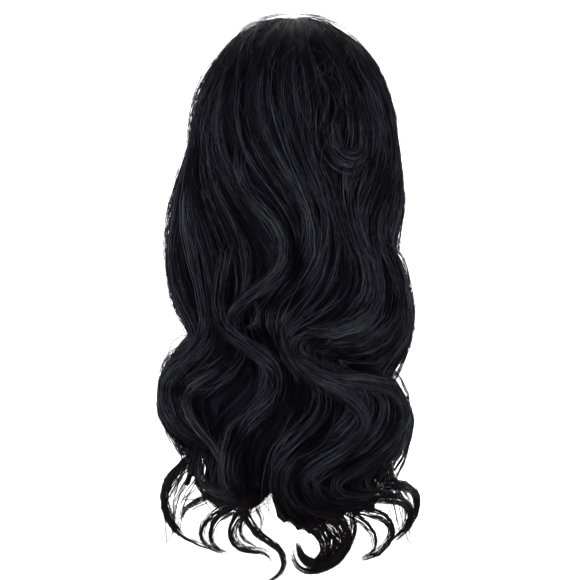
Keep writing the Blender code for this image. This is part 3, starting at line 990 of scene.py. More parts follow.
# %% A core for each lock
CORE_SIDES, CORE_STEP, CORE_REACH = 10, 5, 0.84
CORE_INSET, CORE_WIDTH, CORE_THICKNESS = 5.2, 0.9, 0.7
for path in paths.values():
    stop = int(len(path["far"]) * CORE_REACH)
    rows = np.unique(np.concatenate([np.arange(0, stop, CORE_STEP), [stop]]))
    taper = np.clip((1 - rows / stop) / 0.25, 0.05, 1) ** 0.6
    thick = hair_depth(path)[rows] * CORE_THICKNESS
    first, count = sum(len(p) for p in core_points), len(rows)
    for k in range(CORE_SIDES):
        turn = 2 * math.pi * k / CORE_SIDES
        wide = np.where(math.cos(turn) > 0, path["wide"][0][rows], path["wide"][1][rows])
        sideways = math.cos(turn) * wide * CORE_WIDTH * taper
        inset = CORE_INSET + (thick / 2) * (1 - math.sin(turn)) * taper + (1 - taper) * thick / 2
        inset = inset - path["raised"][rows] + sideways**2 / HEAD_BEND + 4 * math.cos(turn) ** 2
        point = path["points"][rows] + path["across"][rows] * sideways[:, None]
        core_points.append(point - path["out"][rows] * inset[:, None])
        core_marks.append(np.stack([np.full(count, turn * 16), path["far"][rows]], -1))
        a, b = first + k * count, first + (k + 1) % CORE_SIDES * count
        core_faces += [(b + i, a + i, a + i + 1, b + i + 1) for i in range(count - 1)]
    core_faces.append(tuple(first + k * count for k in range(CORE_SIDES)))
    core_faces.append(tuple(first + k * count + count - 1 for k in reversed(range(CORE_SIDES))))
underneath = sheet_object("hair_underneath", np.concatenate(core_points), core_faces,
                          np.concatenate(core_marks), under_finish, marks_name="along_the_hair")
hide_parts("crown_back", "crown_left", "crown_right")
print("hair underneath:", len(underneath.data.vertices), "points")

# %% [markdown]
# ## Locks between the locks
#
# The locks that we read off the photograph are the ones that one can tell apart. Between every two of them
# run hairs that follow both. We blend the two neighbours, at 0.3 and at 0.7 of the way, and set the blends 2
# mm deeper, so that the named locks stay on top.

# %% Locks between the locks
BETWEEN_SHARES, BETWEEN_DEPTH = (0.3, 0.7), 2


def at(path, key, far):
    """A path's values at chosen distances along it."""
    values = path[key]
    if values.ndim == 1:
        return np.interp(far, path["far"], values)
    return np.stack([np.interp(far, path["far"], column) for column in values.T], -1)


def between(one, other, share):
    """A path that runs between two neighbouring locks, at a share of the way from one to the other."""
    steps = np.linspace(0, 1, max(len(one["far"]), len(other["far"])))
    on_one, on_other = steps * one["far"][-1], steps * other["far"][-1]
    blend = {key: (1 - share) * at(one, key, on_one) + share * at(other, key, on_other)
             for key in ("points", "raised")}
    apart = np.linalg.norm(at(one, "points", on_one) - at(other, "points", on_other), axis=1)
    path = finished_path(blend["points"])
    far = np.linspace(0, 1, len(path["far"]))
    path["raised"] = np.interp(far, steps, blend["raised"]) - BETWEEN_DEPTH
    path["wide"] = (np.interp(far, steps, np.clip(apart / 5, 3, 14)),) * 2
    return path


for first, second in zip(round_the_head, round_the_head[1:]):
    for share in BETWEEN_SHARES:
        paths[f"{first}_to_{second}_{share}"] = between(paths[first], paths[second], share)
print(len(paths), "locks with those between them")

# %% [markdown]
# ## Light and dark between the waves
#
# In a thick head of hair the hollows of the waves swallow the light, and the bends shine. Lighting thin strands
# on a smooth surface gives only part of that. The rest is painted here: soft lines that make the strands near
# them darker and sink them, or make them lighter. A row holds the line's start and end as seen from behind, its
# half width in mm and its strength. We placed them beside a blurred view of the photograph. The crown is
# darkened too, all the way round and more towards its top, by a row of heights and shares. This is quick and
# keeps the picture's look, but the shade stays where it is when the lamps move.

# %% Lines of shade and sheen on the back
POCKET_DEPTH = 4.0
CROWN_SHADE = {"heights": (-120, -60, -20, 0), "shares": (1, 0.8, 0.5, 0.3)}
SHADED = (
    ((-66, -70), (-44, -42), 13, 0.55), ((-44, -34), (6, -22), 10, 0.45), ((54, -34), (56, -54), 9, 0.6),
    ((60, -80), (62, -92), 6, 0.5), ((28, -107), (27, -137), 5, 0.8), ((-94, -122), (-104, -157), 9, 0.6),
    ((78, -137), (90, -167), 10, 0.6), ((-38, -150), (-22, -177), 3.5, 0.6),
    ((-22, -177), (-4, -204), 3.5, 0.75), ((-4, -204), (4, -234), 4, 0.85), ((4, -234), (2, -272), 7, 1),
    ((-56, -204), (-46, -187), 7, 0.85), ((-46, -187), (-29, -217), 6, 0.9),
    ((-29, -217), (-28, -237), 5, 0.8), ((-4, -272), (-32, -276), 6.5, 1), ((-32, -274), (-48, -290), 6, 0.9),
    ((-39, -307), (-14, -310), 7, 0.85), ((-76, -290), (-76, -304), 6, 0.6),
    ((-68, -322), (-49, -337), 8, 0.9), ((-46, -334), (-44, -357), 11, 1), ((-59, -370), (-58, -380), 7, 0.9),
    ((-116, -357), (-94, -372), 4, 0.7), ((-89, -374), (-76, -390), 10, 1), ((-19, -352), (6, -357), 9, 0.8),
    ((-9, -367), (-19, -390), 10.5, 1), ((4, -367), (6, -387), 8, 0.8), ((-59, -407), (-32, -417), 9, 1),
    ((-42, -424), (-36, -460), 13, 1), ((-112, -410), (-91, -414), 9, 0.8),
    ((-82, -422), (-81, -440), 4, 0.7), ((44, -367), (31, -392), 5, 0.6), ((31, -394), (18, -417), 7, 0.95),
    ((64, -400), (58, -417), 6, 0.8), ((41, -434), (58, -427), 6, 0.8), ((74, -434), (84, -438), 6, 0.6),
    ((31, -324), (51, -327), 6, 0.75), ((51, -334), (78, -340), 7, 0.85), ((48, -234), (54, -262), 6, 0.7),
    ((54, -262), (41, -292), 6, 0.75), ((86, -242), (96, -277), 4.5, 0.7),
    ((-104, -260), (-100, -274), 5, 0.6), ((11, -307), (31, -317), 5, 0.6), ((6, -422), (0, -447), 5, 0.6),
    ((0, -447), (11, -472), 6, 0.6), ((-4, -482), (24, -487), 5, 0.8),
)
SHEEN = (
    ((-9, -47), (31, -47), 10, 0.3), ((-32, -82), (6, -84), 14, 0.45), ((-49, -122), (-32, -147), 10, 0.35),
    ((-4, -102), (-9, -152), 14, 0.3), ((36, -104), (54, -112), 7, 0.3), ((31, -144), (68, -140), 4, 0.5),
    ((17, -167), (13, -200), 5, 0.7), ((-109, -177), (-109, -212), 9, 0.5),
    ((-26, -187), (-11, -217), 6, 0.4), ((-11, -217), (-16, -240), 6, 0.4), ((24, -212), (24, -262), 7, 0.35),
    ((41, -304), (74, -300), 8, 0.8), ((-10, -288), (-4, -294), 4, 0.5), ((11, -348), (71, -349), 4, 0.4),
    ((-30, -317), (-28, -387), 4.5, 0.45), ((-68, -417), (-68, -457), 6, 0.9),
    ((-6, -412), (-9, -434), 5, 0.5), ((-109, -322), (-102, -344), 8, 0.35),
    ((-116, -377), (-104, -387), 7, 0.45), ((106, -272), (106, -297), 7, 0.2),
)


def soft_lines(rows):
    """The same rows as arrays: starts, ways, half widths and strengths."""
    starts, ends, half_widths, strengths = (np.array(column, float) for column in zip(*rows))
    return starts, ends - starts, half_widths, strengths


def nearness(points, lines):
    """How strongly each point of the back lies in one of some soft lines, from 0 to 1."""
    starts, ways, half_widths, strengths = lines
    off = points[:, None, (0, 2)] - starts
    along = np.clip((off * ways).sum(-1) / (ways * ways).sum(-1), 0, 1)
    off -= along[..., None] * ways
    share = strengths * np.exp(-(off * off).sum(-1) / half_widths**2)
    return share.max(1) * (points[:, 1] < 0)


shaded, sheen = soft_lines(SHADED), soft_lines(SHEEN)
print(len(SHADED), "lines of shade and", len(SHEEN), "of sheen")

# %% [markdown]
# ## What each lock tells its strands
#
# Before any strand grows, each path gets what its strands will ask for: how thick and wide the hair is along
# it, where it passes the hem, where its ends hang free, and how loosely its wisps keep together.

# %% Notes for each lock
STRAND_RADIUS, CURL_RADIUS = 0.26, 0.30
LEAST_TONE = 0.2
FREE_BELOW = -440
FREE_ENDS = {"back": (1.0, 0.12), "side": (0.4, 0.22)}


def ring_places(path):
    """A measure along a path that grows faster where it bends, to space the rings of a tube by."""
    bend = np.linalg.norm(np.gradient(path["along"], axis=0), axis=1)
    return np.cumsum(SAMPLE / 38 + bend / 0.5)


for path in [*paths.values(), *hairline_paths.values()]:
    x, _, z = path["points"].T
    below_hem = z < np.interp(x, hem_rows[:, 0], hem_rows[:, 1]) - 4
    looseness, ends_free = FREE_ENDS["back" if path["points"][-40:, 1].mean() < -30 else "side"]
    path["wide_a"], path["wide_b"] = path["wide"]
    path |= {
        "measure": ring_places(path), "thick": hair_depth(path), "room": float(np.mean(sum(path["wide"]))),
        "free": path["far"][np.argmax(z < FREE_BELOW)], "loose": looseness, "ends_free": ends_free,
        "hem": path["far"][np.argmax(below_hem)] if below_hem.any() else path["far"][-1],
        "least_tone": LEAST_TONE, "bright": 1.0, "round": 0, "hangs": 0, "radius": STRAND_RADIUS,
    }
print("room for strands across all locks, mm:", round(sum(path["room"] for path in paths.values())))

# %% [markdown]
# ## Wisps and strands
#
# A lock isn't a smooth bundle. Its hairs gather into wisps, each a little early or late in its wave, and the
# wisps part near the ends and leave the comb of curls that one sees at the hem. Each wisp gets a place in its
# lock, a delay along the wave, a length of its own and a slow wander. Its strands lie round it, close
# together at the tip. Blender's own hair curves could draw them too, but the library keeps meshes, so we
# build the tubes ourselves.

# %% How a wisp wanders and ends
WANDER_STEP = 12.0
INSIDE_SHARE = 0.16


def waver(far, size, shortest, longest):
    """A slow wander along a strand: three waves of chance length and phase."""
    total = np.zeros(len(far))
    for length in chance.uniform(shortest, longest, 3):
        total += np.sin(2 * math.pi * (far / length + chance.random()))
    return total * size / 3


def wisp_end(path, whole):
    """Most wisps end where their lock passes the hem, and a few go on to its tip."""
    if chance.random() < path["ends_free"]:
        return whole * chance.uniform(0.9, 1)
    return path["hem"] + chance.uniform(-26, 8)


print("a wisp wanders between points", WANDER_STEP, "mm apart")

# %% Three kinds of wisp


def wisp_on_top(path, whole, grid):
    """A wisp of a short lock on top of the others, or of a free curl."""
    return {
        "place": chance.uniform(-1, 1), "inside": False, "depth": chance.uniform(0, 3), "delay": 0,
        "tip_depth": chance.random(), "end": whole * chance.uniform(0.9, 1), "size": chance.uniform(0.5, 1.2),
        "begin": chance.uniform(0, 0.18) * whole, "grid": grid,
        "sway": waver(grid, 0.7, 80, 200), "heave": waver(grid, 1.0, 60, 160),
    }


def wisp_round_the_edge(path, whole, grid):
    """A wisp of a lock that is seen from its edge too, so its wisps are wrapped round it."""
    turn = chance.uniform(-1.2, 2.9)
    return {
        "place": path["round"] * math.sin(turn), "inside": False, "depth": 11 * (1 - math.cos(turn)) + 2,
        "tip_depth": chance.random(), "delay": chance.normal(0, 4),
        "end": whole * chance.uniform(*path["ends"]), "begin": chance.uniform(0, path["begins"]),
        "size": chance.uniform(1.2, 2.4), "grid": grid,
        "sway": waver(grid, 3, 80, 230), "heave": waver(grid, 1.2, 60, 180),
    }


def wisp_of_a_lock(path, whole, grid):
    """A wisp of a long lock, on its outside or, for about one in six, on its inside towards the head."""
    equator_far = path["far"][np.argmax(path["points"][:, 2] < EQUATOR)]
    inside = chance.random() < INSIDE_SHARE
    return {
        "place": chance.uniform(-1, 1),
        "inside": inside,
        "depth": chance.uniform(0, 4.8),
        "tip_depth": chance.random(),
        "delay": chance.normal(0, 6) * path["loose"],
        "end": min(whole, wisp_end(path, whole)),
        "begin": equator_far * (chance.uniform(0.8, 1.0) if inside else max(0.0, chance.uniform(-0.7, 0.8))),
        "size": chance.uniform(1.4, 3.2),
        "grid": grid,
        "sway": waver(grid, chance.uniform(1.5, 4.5), 80, 230),
        "heave": waver(grid, chance.uniform(0.6, 2.0), 60, 180),
    }


def new_wisp(path):
    """What the strands of one wisp share: its place in the lock, its delay, its ends and its wander."""
    whole = path["far"][-1]
    kind = wisp_on_top if path["hangs"] else wisp_round_the_edge if path["round"] else wisp_of_a_lock
    return kind(path, whole, np.arange(0, whole + WANDER_STEP, WANDER_STEP))


print("share of wisps on the inside:", INSIDE_SHARE)

# %% Strands
WISP_STRANDS, SHORT_WISP = 6, 3


def grow_strand(mesh, path, wisp):
    """Adds one strand of a wisp: its line, its thickness, and its tone at each place, with painted shade and
    painted highlight.
    """
    whole, measure = path["far"][-1], path["measure"]
    begin, end = wisp["begin"], wisp["end"]
    first, last = np.interp((begin, end), path["far"], measure)
    far = np.interp(np.linspace(first, last, max(6, int(last - first))), measure, path["far"])
    share = far / whole
    delayed = np.clip(far + wisp["delay"] * np.clip(far / 200 - 0.5, 0, 1), 0, whole)
    spread = wisp["size"] * (1.2 - 0.95 * share**3) * np.clip(far / 60, 0.3, 1)
    place = wisp["place"]
    wide = at(path, "wide_a" if place > 0 else "wide_b", delayed)
    sway = np.interp(far, wisp["grid"], wisp["sway"]) * np.clip(far / 150, 0, 1)
    frizz = np.interp(far, (0, 120, 260), (1.5, 1.2, 0.8))
    sideways = place * wide + sway + chance.normal(0, 0.6) * spread + waver(far, 1, 22, 80) * frizz
    free = np.clip((far - path["free"]) / 60, 0, 1)
    thick = at(path, "thick", delayed)
    depth = thick - 1 - wisp["depth"] if wisp["inside"] else wisp["depth"]
    depth = depth * (1 - free) + wisp["tip_depth"] * thick * free
    raised = at(path, "raised", far)
    inset = 0.4 + depth + 4.0 * place * place + sideways**2 / HEAD_BEND - raised
    inset += np.interp(far, wisp["grid"], wisp["heave"]) + chance.normal(0, 0.4) * spread
    inset += waver(far, 0.6, 22, 80) * frizz
    inset = np.maximum(inset, 0.3 - raised - np.clip(path["hangs"] + far / 300, 0, 1) * 3.0)
    out = at(path, "out", delayed)
    line = at(path, "points", delayed) + at(path, "across", delayed) * sideways[:, None]
    # Painted shade and highlight: strands lying deeper under the others, near the lines of shade or high on the
    # crown get a darker tone, and strands near the lines of sheen get a lighter one. Near the lines of shade
    # the strands also sink deeper.
    hollow_and_painted_shade = nearness(line, shaded) * (0.6 if path["hangs"] else 1)
    painted_light_share = np.clip(1.12 - 0.10 * (inset + raised), path["least_tone"], 1) * (1 - 0.95 * hollow_and_painted_shade)
    tone = (chance.random() * painted_light_share + 0.35 * nearness(line, sheen)) * path["bright"]
    tone *= np.interp(line[:, 2], CROWN_SHADE["heights"], CROWN_SHADE["shares"])
    line = line - out * (inset + POCKET_DEPTH * hollow_and_painted_shade)[:, None]
    thin = np.clip((far - begin) / 20, 0.5, 1) * np.clip((end - far) / (34 + 0.05 * whole), 0.15, 1) ** 0.7
    mesh.add(line, path["radius"] * chance.uniform(0.6, 1.25) * thin, out, tone)


def grow_wisps(mesh, path, wisps, strands):
    """Adds a number of wisps of a lock, with so many strands in each."""
    for _ in range(wisps):
        wisp = new_wisp(path)
        for _ in range(strands):
            grow_strand(mesh, path, wisp)


print("a wisp of a long lock has", WISP_STRANDS, "strands, a short one", SHORT_WISP)

# %% [markdown]
# ## Locks that lie over the others, and the curled ends
#
# The big locks give the wave. What the eye follows are single locks on top of them: the swirl on the right,
# the big arc on the left, and the ends, where the hair is so thin that each curl stands alone like a comb of
# lines. They are read off the photograph the same way. A row holds how far a lock stands out, its half width
# at its start, middle and end in mm, its number of strands, and its turning points.

# %% Rows of short locks and curls
SHORT_LOCKS = {
    "swirl_rim": (3, (8, 8, 4), 84, (36, -62), (27, -84), (25, -108), (31, -131), (46, -145), (63, -143),
        (76, -127), (78, -106), (70, -92), (58, -88)),
    "swirl_heart": (6, (6, 7, 3), 66, (52, -84), (41, -94), (38, -112), (44, -129), (56, -134), (66, -124),
        (67, -109), (59, -101), (52, -106), (51, -117)),
    "arc_band": (8, (8, 10, 7), 96, (-56, -104), (-54, -146), (-42, -172), (-22, -192), (-10, -218),
        (-16, -244), (-38, -262), (-58, -282)),
    "left_band": (8, (9, 9, 7), 90, (-62, -190), (-66, -236), (-72, -270), (-66, -298), (-44, -316),
        (-22, -334), (-17, -354), (-32, -374), (-52, -392), (-58, -416)),
    "ring_curl": (9, (5, 5, 3), 42, (-58, -262), (-44, -268), (-33, -280), (-38, -296), (-52, -298),
        (-56, -286)),
    "right_roll_outer": (7, (10, 9, 6), 96, (70, -196), (92, -228), (103, -262), (98, -292), (76, -314),
        (46, -322), (14, -316), (-8, -302)),
    "right_roll_inner": (8, (9, 8, 5), 84, (58, -200), (76, -236), (80, -266), (66, -290), (38, -302),
        (10, -300), (-10, -288)),
    "right_return": (8, (6, 9, 8), 90, (-6, -306), (4, -328), (30, -346), (64, -350), (92, -356), (106, -378),
        (102, -402), (84, -424)),
    "middle_return": (7, (6, 8, 6), 72, (2, -318), (22, -348), (52, -366), (68, -388), (54, -412), (26, -430),
        (4, -448), (2, -466)),
    "lower_left_roll": (7, (6, 9, 5), 78, (-92, -316), (-112, -332), (-126, -354), (-124, -382), (-106, -404),
        (-84, -416), (-66, -426)),
    "lower_left_inner": (8, (6, 8, 5), 66, (-64, -330), (-88, -346), (-104, -366), (-98, -390), (-80, -410),
        (-72, -432), (-76, -452)),
    "left_bowl": (3, (10, 9, 7), 110, (-100, -412), (-97, -430), (-93, -448), (-82, -461), (-64, -467),
        (-46, -467), (-33, -461), (-28, -448)),
    "left_shoulder": (2, (5, 8, 5), 72, (-88, -320), (-103, -326), (-118, -334), (-131, -347), (-136, -366),
        (-132, -392), (-118, -412)),
    "right_shoulder": (2, (5, 8, 5), 66, (66, -346), (88, -352), (103, -363), (115, -381), (118, -403),
        (107, -428)),
    "comb_outer": (4, (6, 7, 4), 60, (-96, -418), (-108, -432), (-119, -443), (-127, -455), (-129, -470),
        (-125, -485), (-117, -497), (-108, -503)),
    "comb_thread": (3, (4, 2, 1.5), 14, (-129, -464), (-127, -478), (-120, -494), (-108, -504), (-92, -510),
        (-77, -515), (-66, -517)),
    "comb_second": (3, (5, 4, 2), 30, (-72, -452), (-82, -461), (-92, -467), (-104, -473), (-110, -482),
        (-112, -490)),
    "comb_flat": (1, (3, 3, 2), 8, (-84, -462), (-96, -465), (-106, -466), (-117, -465)),
    "comb_third": (3, (5, 4, 3), 34, (-40, -452), (-50, -468), (-68, -477), (-77, -484), (-82, -495),
        (-82, -506), (-77, -513), (-68, -518)),
    "comb_between": (3, (4, 3, 2), 18, (-52, -458), (-66, -470), (-80, -479), (-90, -490), (-93, -502),
        (-87, -511), (-74, -516), (-60, -518)),
    "comb_inner": (3, (4, 3, 1), 18, (-32, -452), (-41, -470), (-49, -482), (-53, -494), (-50, -503),
        (-42, -508), (-33, -510)),
    "comb_fourth": (4, (6, 4, 2), 44, (-34, -448), (-43, -466), (-53, -478), (-60, -489), (-62, -500),
        (-57, -509), (-48, -514), (-34, -513), (-24, -516), (-20, -526)),
    "claw": (4, (6, 3, 0.8), 44, (-58, -446), (-55, -464), (-48, -480), (-40, -492), (-32, -501), (-20, -506),
        (-12, -514), (-9, -526), (-14, -537), (-22, -543), (-29, -545)),
    "small_loop": (3, (3, 2, 1), 14, (-46, -454), (-40, -467), (-34, -476), (-30, -486), (-32, -495),
        (-36, -499)),
    "fat_curl": (7, (14, 8, 1.5), 110, (20, -470), (38, -486), (46, -500), (45, -513), (36, -523), (24, -528),
        (13, -525), (6, -518), (3, -509), (3, -502)),
    "fat_curl_heart": (7, (11, 7, 1.5), 84, (4, -476), (20, -488), (29, -500), (31, -512), (26, -521),
        (15, -526)),
    "thin_round": (5, (4, 3, 2), 34, (56, -464), (58, -480), (58, -494), (53, -509), (42, -524), (27, -533),
        (14, -535), (4, -531), (-2, -522), (-3, -510)),
    "right_comb_inner": (4, (5, 3, 1), 22, (40, -466), (54, -476), (68, -486), (78, -498), (80, -508),
        (75, -518), (67, -523)),
    "right_comb": (5, (6, 4, 2), 34, (58, -472), (76, -478), (89, -484), (96, -496), (93, -508), (84, -517),
        (74, -522), (62, -523)),
    "right_sweep": (5, (7, 4, 2), 44, (70, -462), (92, -464), (106, -468), (114, -478), (114, -490),
        (107, -500), (94, -508)),
    "right_sweep_outer": (5, (6, 4, 2), 40, (80, -450), (98, -452), (113, -456), (121, -465), (121, -478),
        (116, -490), (106, -502)),
}
SHORT_PIECES = {
    "hair_locks_left": ("arc_band", "left_band", "ring_curl", "lower_left_roll", "lower_left_inner",
                        "left_bowl", "left_shoulder"),
    "hair_locks_right": ("swirl_rim", "swirl_heart", "right_roll_outer", "right_roll_inner", "right_return",
                         "middle_return", "right_shoulder"),
    "hair_ends_left": ("comb_outer", "comb_thread", "comb_second", "comb_flat", "comb_third", "comb_between",
                       "comb_inner", "comb_fourth", "claw", "small_loop"),
    "hair_ends_right": ("fat_curl", "fat_curl_heart", "thin_round", "right_comb_inner", "right_comb",
                        "right_sweep", "right_sweep_outer"),
}
print(len(SHORT_LOCKS), "short locks in", len(SHORT_PIECES), "pieces")

# %% [markdown]
# ## Growing the short locks
#
# A lock on top comes up from under its neighbours and dives below them again, so no end of it shows. A curl
# at the hem comes up in the same way and then hangs free to its tip. Both use the wisps from above.

# %% Short locks and curls
DIVE = 6
END_STRANDS = 2.4


def short_path(row, curls_free):
    """The path of a short lock: it comes up from under the others, and dives again unless it ends free."""
    stands_out, widths, _, *turns = row
    seen = rounded(turns, SAMPLE)
    hanging, _ = on_back(seen[:, 0], seen[:, 1])
    path = finished_path(hanging)
    share = path["far"] / path["far"][-1]
    rising = np.clip(path["far"] / (14 if curls_free else 35), 0, 1)
    diving = np.ones_like(share) if curls_free else np.clip((1 - share) * path["far"][-1] / 45, 0, 1)
    half = np.interp(share, (0, 0.5, 1), widths)
    path |= {
        "measure": ring_places(path), "wide_a": half, "wide_b": half, "hangs": 1, "least_tone": LEAST_TONE,
        "radius": CURL_RADIUS if curls_free else STRAND_RADIUS, "bright": 0.6 if curls_free else 1.0,
        "raised": (stands_out + DIVE) * np.minimum(rising, diving) - DIVE,
        "thick": np.full_like(share, 6.0), "free": path["far"][-1] * (0.35 if curls_free else 2),
    }
    return path


for piece_name, members in SHORT_PIECES.items():
    collected = StrandMesh(piece_name)
    curls_free = "ends" in piece_name
    for member in members:
        strands = SHORT_LOCKS[member][2] * (END_STRANDS if curls_free else 1)
        path = short_path(SHORT_LOCKS[member], curls_free)
        grow_wisps(collected, path, max(1, round(strands / SHORT_WISP)), SHORT_WISP)
    piece = collected.build(strand_finish)
    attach(piece, "root")

# %% [markdown]
# ## Growing the hairline and the edge beside the face
#
# The hairline's locks are seen from their edge and from inside as well, so their wisps are wrapped round
# them. The foremost side lock gets a few wrapped wisps too, or it would look like the cut edge of a curtain.

# %% Locks of the hairline and the edge
HAIRLINE_STRANDS, EDGE_WISPS, EDGE_BEGIN = 66, 40, 110
for side in ("left", "right"):
    collected = StrandMesh(f"hair_front_{side}")
    for name, path in hairline_paths.items():
        if side in name:
            path |= {"round": 1, "ends": (0.3, 0.95), "begins": 6, "least_tone": 0.6}
            for _ in range(HAIRLINE_STRANDS // SHORT_WISP):
                wisp = new_wisp(path)
                wisp["depth"] = chance.uniform(0, 5)
                for _ in range(SHORT_WISP):
                    grow_strand(collected, path, wisp)
    edge = paths[f"side_{side}_6"]
    facing = np.sign(edge["across"][len(edge["far"]) // 2][1])
    edge = edge | {"round": facing, "ends": (0.6, 0.86), "begins": 200, "least_tone": 0.55}
    for _ in range(EDGE_WISPS):
        wisp = new_wisp(edge)
        wisp["begin"] += EDGE_BEGIN
        for _ in range(SHORT_WISP):
            grow_strand(collected, edge, wisp)
    piece = collected.build(strand_finish)
    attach(piece, "root")

# %% [markdown]
# ## Growing the long locks
#
# The back has more strands to the millimetre than the sides, because one looks straight at it and its waves
# are drawn by single wisps. Each piece takes its named locks and the locks between them, and stands in for
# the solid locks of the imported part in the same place.

# %% Long locks
BACK_STRANDS_PER_MM, SIDE_STRANDS_PER_MM = 3.7, 2.8
PIECES = {
    "hair_left": (list(BACK_LOCKS)[:4], ("lock_back_01", "lock_back_02", "lock_back_03", "lock_back_04")),
    "hair_left_middle": (list(BACK_LOCKS)[4:7], ("lock_back_05", "lock_back_06", "lock_back_07")),
    "hair_right_middle": (list(BACK_LOCKS)[7:10], ("lock_back_08", "lock_back_09", "lock_back_10")),
    "hair_right": (list(BACK_LOCKS)[10:], ("lock_back_11", "lock_back_12", "lock_back_13", "lock_back_14")),
    "hair_side_left": ([f"side_left_{n}" for n in range(1, 7)],
                       ("lock_left_1", "lock_left_2", "lock_left_3")),
    "hair_side_right": ([f"side_right_{n}" for n in range(1, 7)],
                        ("lock_right_1", "lock_right_2", "lock_right_3")),
}
for piece_name, (members, stood_for) in PIECES.items():
    collected = StrandMesh(piece_name)
    for member in members:
        density = BACK_STRANDS_PER_MM if member in BACK_LOCKS else SIDE_STRANDS_PER_MM
        for name in [member, *(key for key in paths if key.startswith(member + "_to_"))]:
            wisps = round(paths[name]["room"] * density / WISP_STRANDS)
            grow_wisps(collected, paths[name], wisps, WISP_STRANDS)
    piece = collected.build(strand_finish)
    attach(piece, "root")
    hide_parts(*stood_for)

# %% [markdown]
# ## Stray hairs
#
# No wig is without them: single hairs that leave the outline and catch the light. They are thinner than the
# strands. The long ones bow outward from the locks, and short ones stand up as a soft frizz over the crown.

# %% Loose hairs along the locks
STRAY_RADIUS = 0.13
LOOSE_HAIRS, FRIZZ_HAIRS, FRIZZ_POINTS = 260, 520, 7
FRIZZ_HEAD_RADIUS = 115
strays = StrandMesh("hair_strays")
for _ in range(LOOSE_HAIRS):
    path = paths[chance.choice(round_the_head)]
    whole = path["far"][-1]
    start = chance.uniform(0.05, 0.8) * whole
    length = chance.uniform(30, 120)
    far = np.linspace(start, min(start + length, whole), max(5, int(length / 7)))
    rise = np.sin(np.linspace(0, math.pi * chance.uniform(0.5, 1.0), len(far)))
    lift = chance.uniform(2, 9) * rise + at(path, "raised", far)
    sway = waver(far, 7, 60, 160) + chance.uniform(-12, 12)
    out = at(path, "out", far)
    line = at(path, "points", far) + out * lift[:, None] + at(path, "across", far) * sway[:, None]
    ends = np.minimum(np.linspace(0, 1, len(far)), np.linspace(1, 0, len(far)))
    strays.add(line, STRAY_RADIUS * np.clip(4 * ends, 0.4, 1), out, chance.uniform(0.6, 1))
print(LOOSE_HAIRS, "loose hairs")

# %% Frizz over the crown
steps = np.linspace(0, 1, FRIZZ_POINTS)
for _ in range(FRIZZ_HAIRS):
    azimuth, down = chance.uniform(-115, 115), 4 + 82 * chance.random() ** 1.4
    turn = chance.normal(0, 0.4) + np.linspace(-1, 1, FRIZZ_POINTS) * chance.normal(0, 0.22)
    length = chance.uniform(14, 48)
    downs = np.radians(down + np.degrees(steps * length * np.cos(turn) / FRIZZ_HEAD_RADIUS))
    narrowing = max(0.2, math.sin(math.radians(down)))
    angles = steps * length * np.sin(turn) / FRIZZ_HEAD_RADIUS / narrowing + math.radians(azimuth)
    way = np.stack([np.sin(angles) * np.sin(downs), -np.cos(angles) * np.sin(downs), np.cos(downs)], -1)
    rise = chance.uniform(0.5, 5.0) * np.sin(steps * math.pi * chance.uniform(0.4, 1)) + 0.2
    line = way * (DOME_RIGHT, DOME_BACK + 1, TOP_RISE) + (0, 0, EQUATOR) + way * rise[:, None]
    radii = STRAY_RADIUS * np.clip(4 * np.minimum(steps, 1 - steps), 0.4, 1)
    strays.add(line, radii, way, chance.uniform(0.3, 0.8))
stray_piece = strays.build(strand_finish)
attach(stray_piece, "root")

# %% [markdown]
# ## The floor, the lights and the camera
#
# The photograph was cut out on white, so the stage is a pale seamless sweep under soft light. The camera
# stands level with the middle of the wig, behind it, with a long lens.

# %% Floor


def plain_finish(name, colour, roughness):
    """A material of one colour."""
    finish, _, shader = new_finish(name, roughness, 0.3)
    shader.inputs["Base Color"].default_value = colour
    return finish


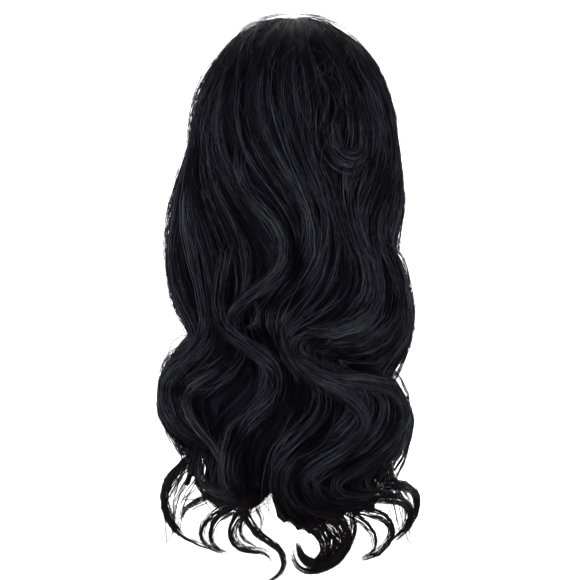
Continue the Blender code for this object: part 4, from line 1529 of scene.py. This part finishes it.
FLOOR, HALF_STAGE = -0.66, 7.0
BEND_START, BEND_RADIUS, WALL_TOP = 4.2, 1.2, 6.0
sweep_points, sweep_faces = [], []
profile = [(-HALF_STAGE, FLOOR), (BEND_START, FLOOR)]
for a in np.linspace(0, math.pi / 2, 17)[1:]:
    profile.append((BEND_START + BEND_RADIUS * math.sin(a), FLOOR + BEND_RADIUS * (1 - math.cos(a))))
profile.append((BEND_START + BEND_RADIUS, WALL_TOP))
for y, z in profile:
    sweep_points += [(-HALF_STAGE, y, z), (HALF_STAGE, y, z)]
for k in range(len(profile) - 1):
    sweep_faces.append((2 * k, 2 * k + 1, 2 * k + 3, 2 * k + 2))
sweep_mesh = bpy.data.meshes.new("floor")
sweep_mesh.from_pydata(sweep_points, [], sweep_faces)
sweep_mesh.shade_smooth()
sweep_mesh.materials.append(plain_finish("pale_floor", (0.86, 0.86, 0.86, 1), 0.9))
floor = bpy.data.objects.new("floor", sweep_mesh)
scene.collection.objects.link(floor)
print("floor at", FLOOR, "m")

# %% Lights


def soft_light(name, place, target, size, watts):
    """A soft box that the camera doesn't see, at a place and aimed at a target."""
    light = bpy.data.lights.new(name, "AREA")
    light.shape = "RECTANGLE"
    light.size, light.size_y = size
    light.energy = watts
    lamp = bpy.data.objects.new(name, light)
    lamp.visible_camera = False
    lamp.location = place
    aim = np.array(target, float) - np.array(place, float)
    lamp.rotation_euler = Vector(aim).to_track_quat("-Z", "Y").to_euler()
    scene.collection.objects.link(lamp)
    return lamp


soft_light("top_box", (0.1, 1.9, 1.3), (0, 0, -0.05), (1.8, 0.7), 8)
soft_light("left_box", (-1.9, -1.6, 0.9), (0, 0, -0.25), (0.8, 1.4), 19)
soft_light("right_box", (1.9, -1.4, 0.7), (0, 0, -0.25), (0.7, 1.4), 14)
soft_light("backdrop_light", (0, 2.6, 3.2), (0, 5.4, -0.1), (5.0, 0.8), 420)
AMBIENT = 0.55
world = bpy.data.worlds.new("studio")
world.use_nodes = True
world.node_tree.nodes["Background"].inputs["Color"].default_value = (1, 1, 1, 1)
world.node_tree.nodes["Background"].inputs["Strength"].default_value = AMBIENT
scene.world = world
scene.view_settings.view_transform = "Standard"

# %% Camera
LENS_MM, SENSOR_MM = 190, 36
CAMERA_PLACE = (-0.004, -3.06, -0.262)
camera_data = bpy.data.cameras.new("camera")
camera_data.lens = LENS_MM
camera_data.sensor_width = SENSOR_MM
camera = bpy.data.objects.new("camera", camera_data)
camera.location = CAMERA_PLACE
camera.rotation_euler = (math.pi / 2, 0, 0)
scene.collection.objects.link(camera)
scene.camera = camera
print("camera at", CAMERA_PLACE, "with a lens of", LENS_MM, "mm")
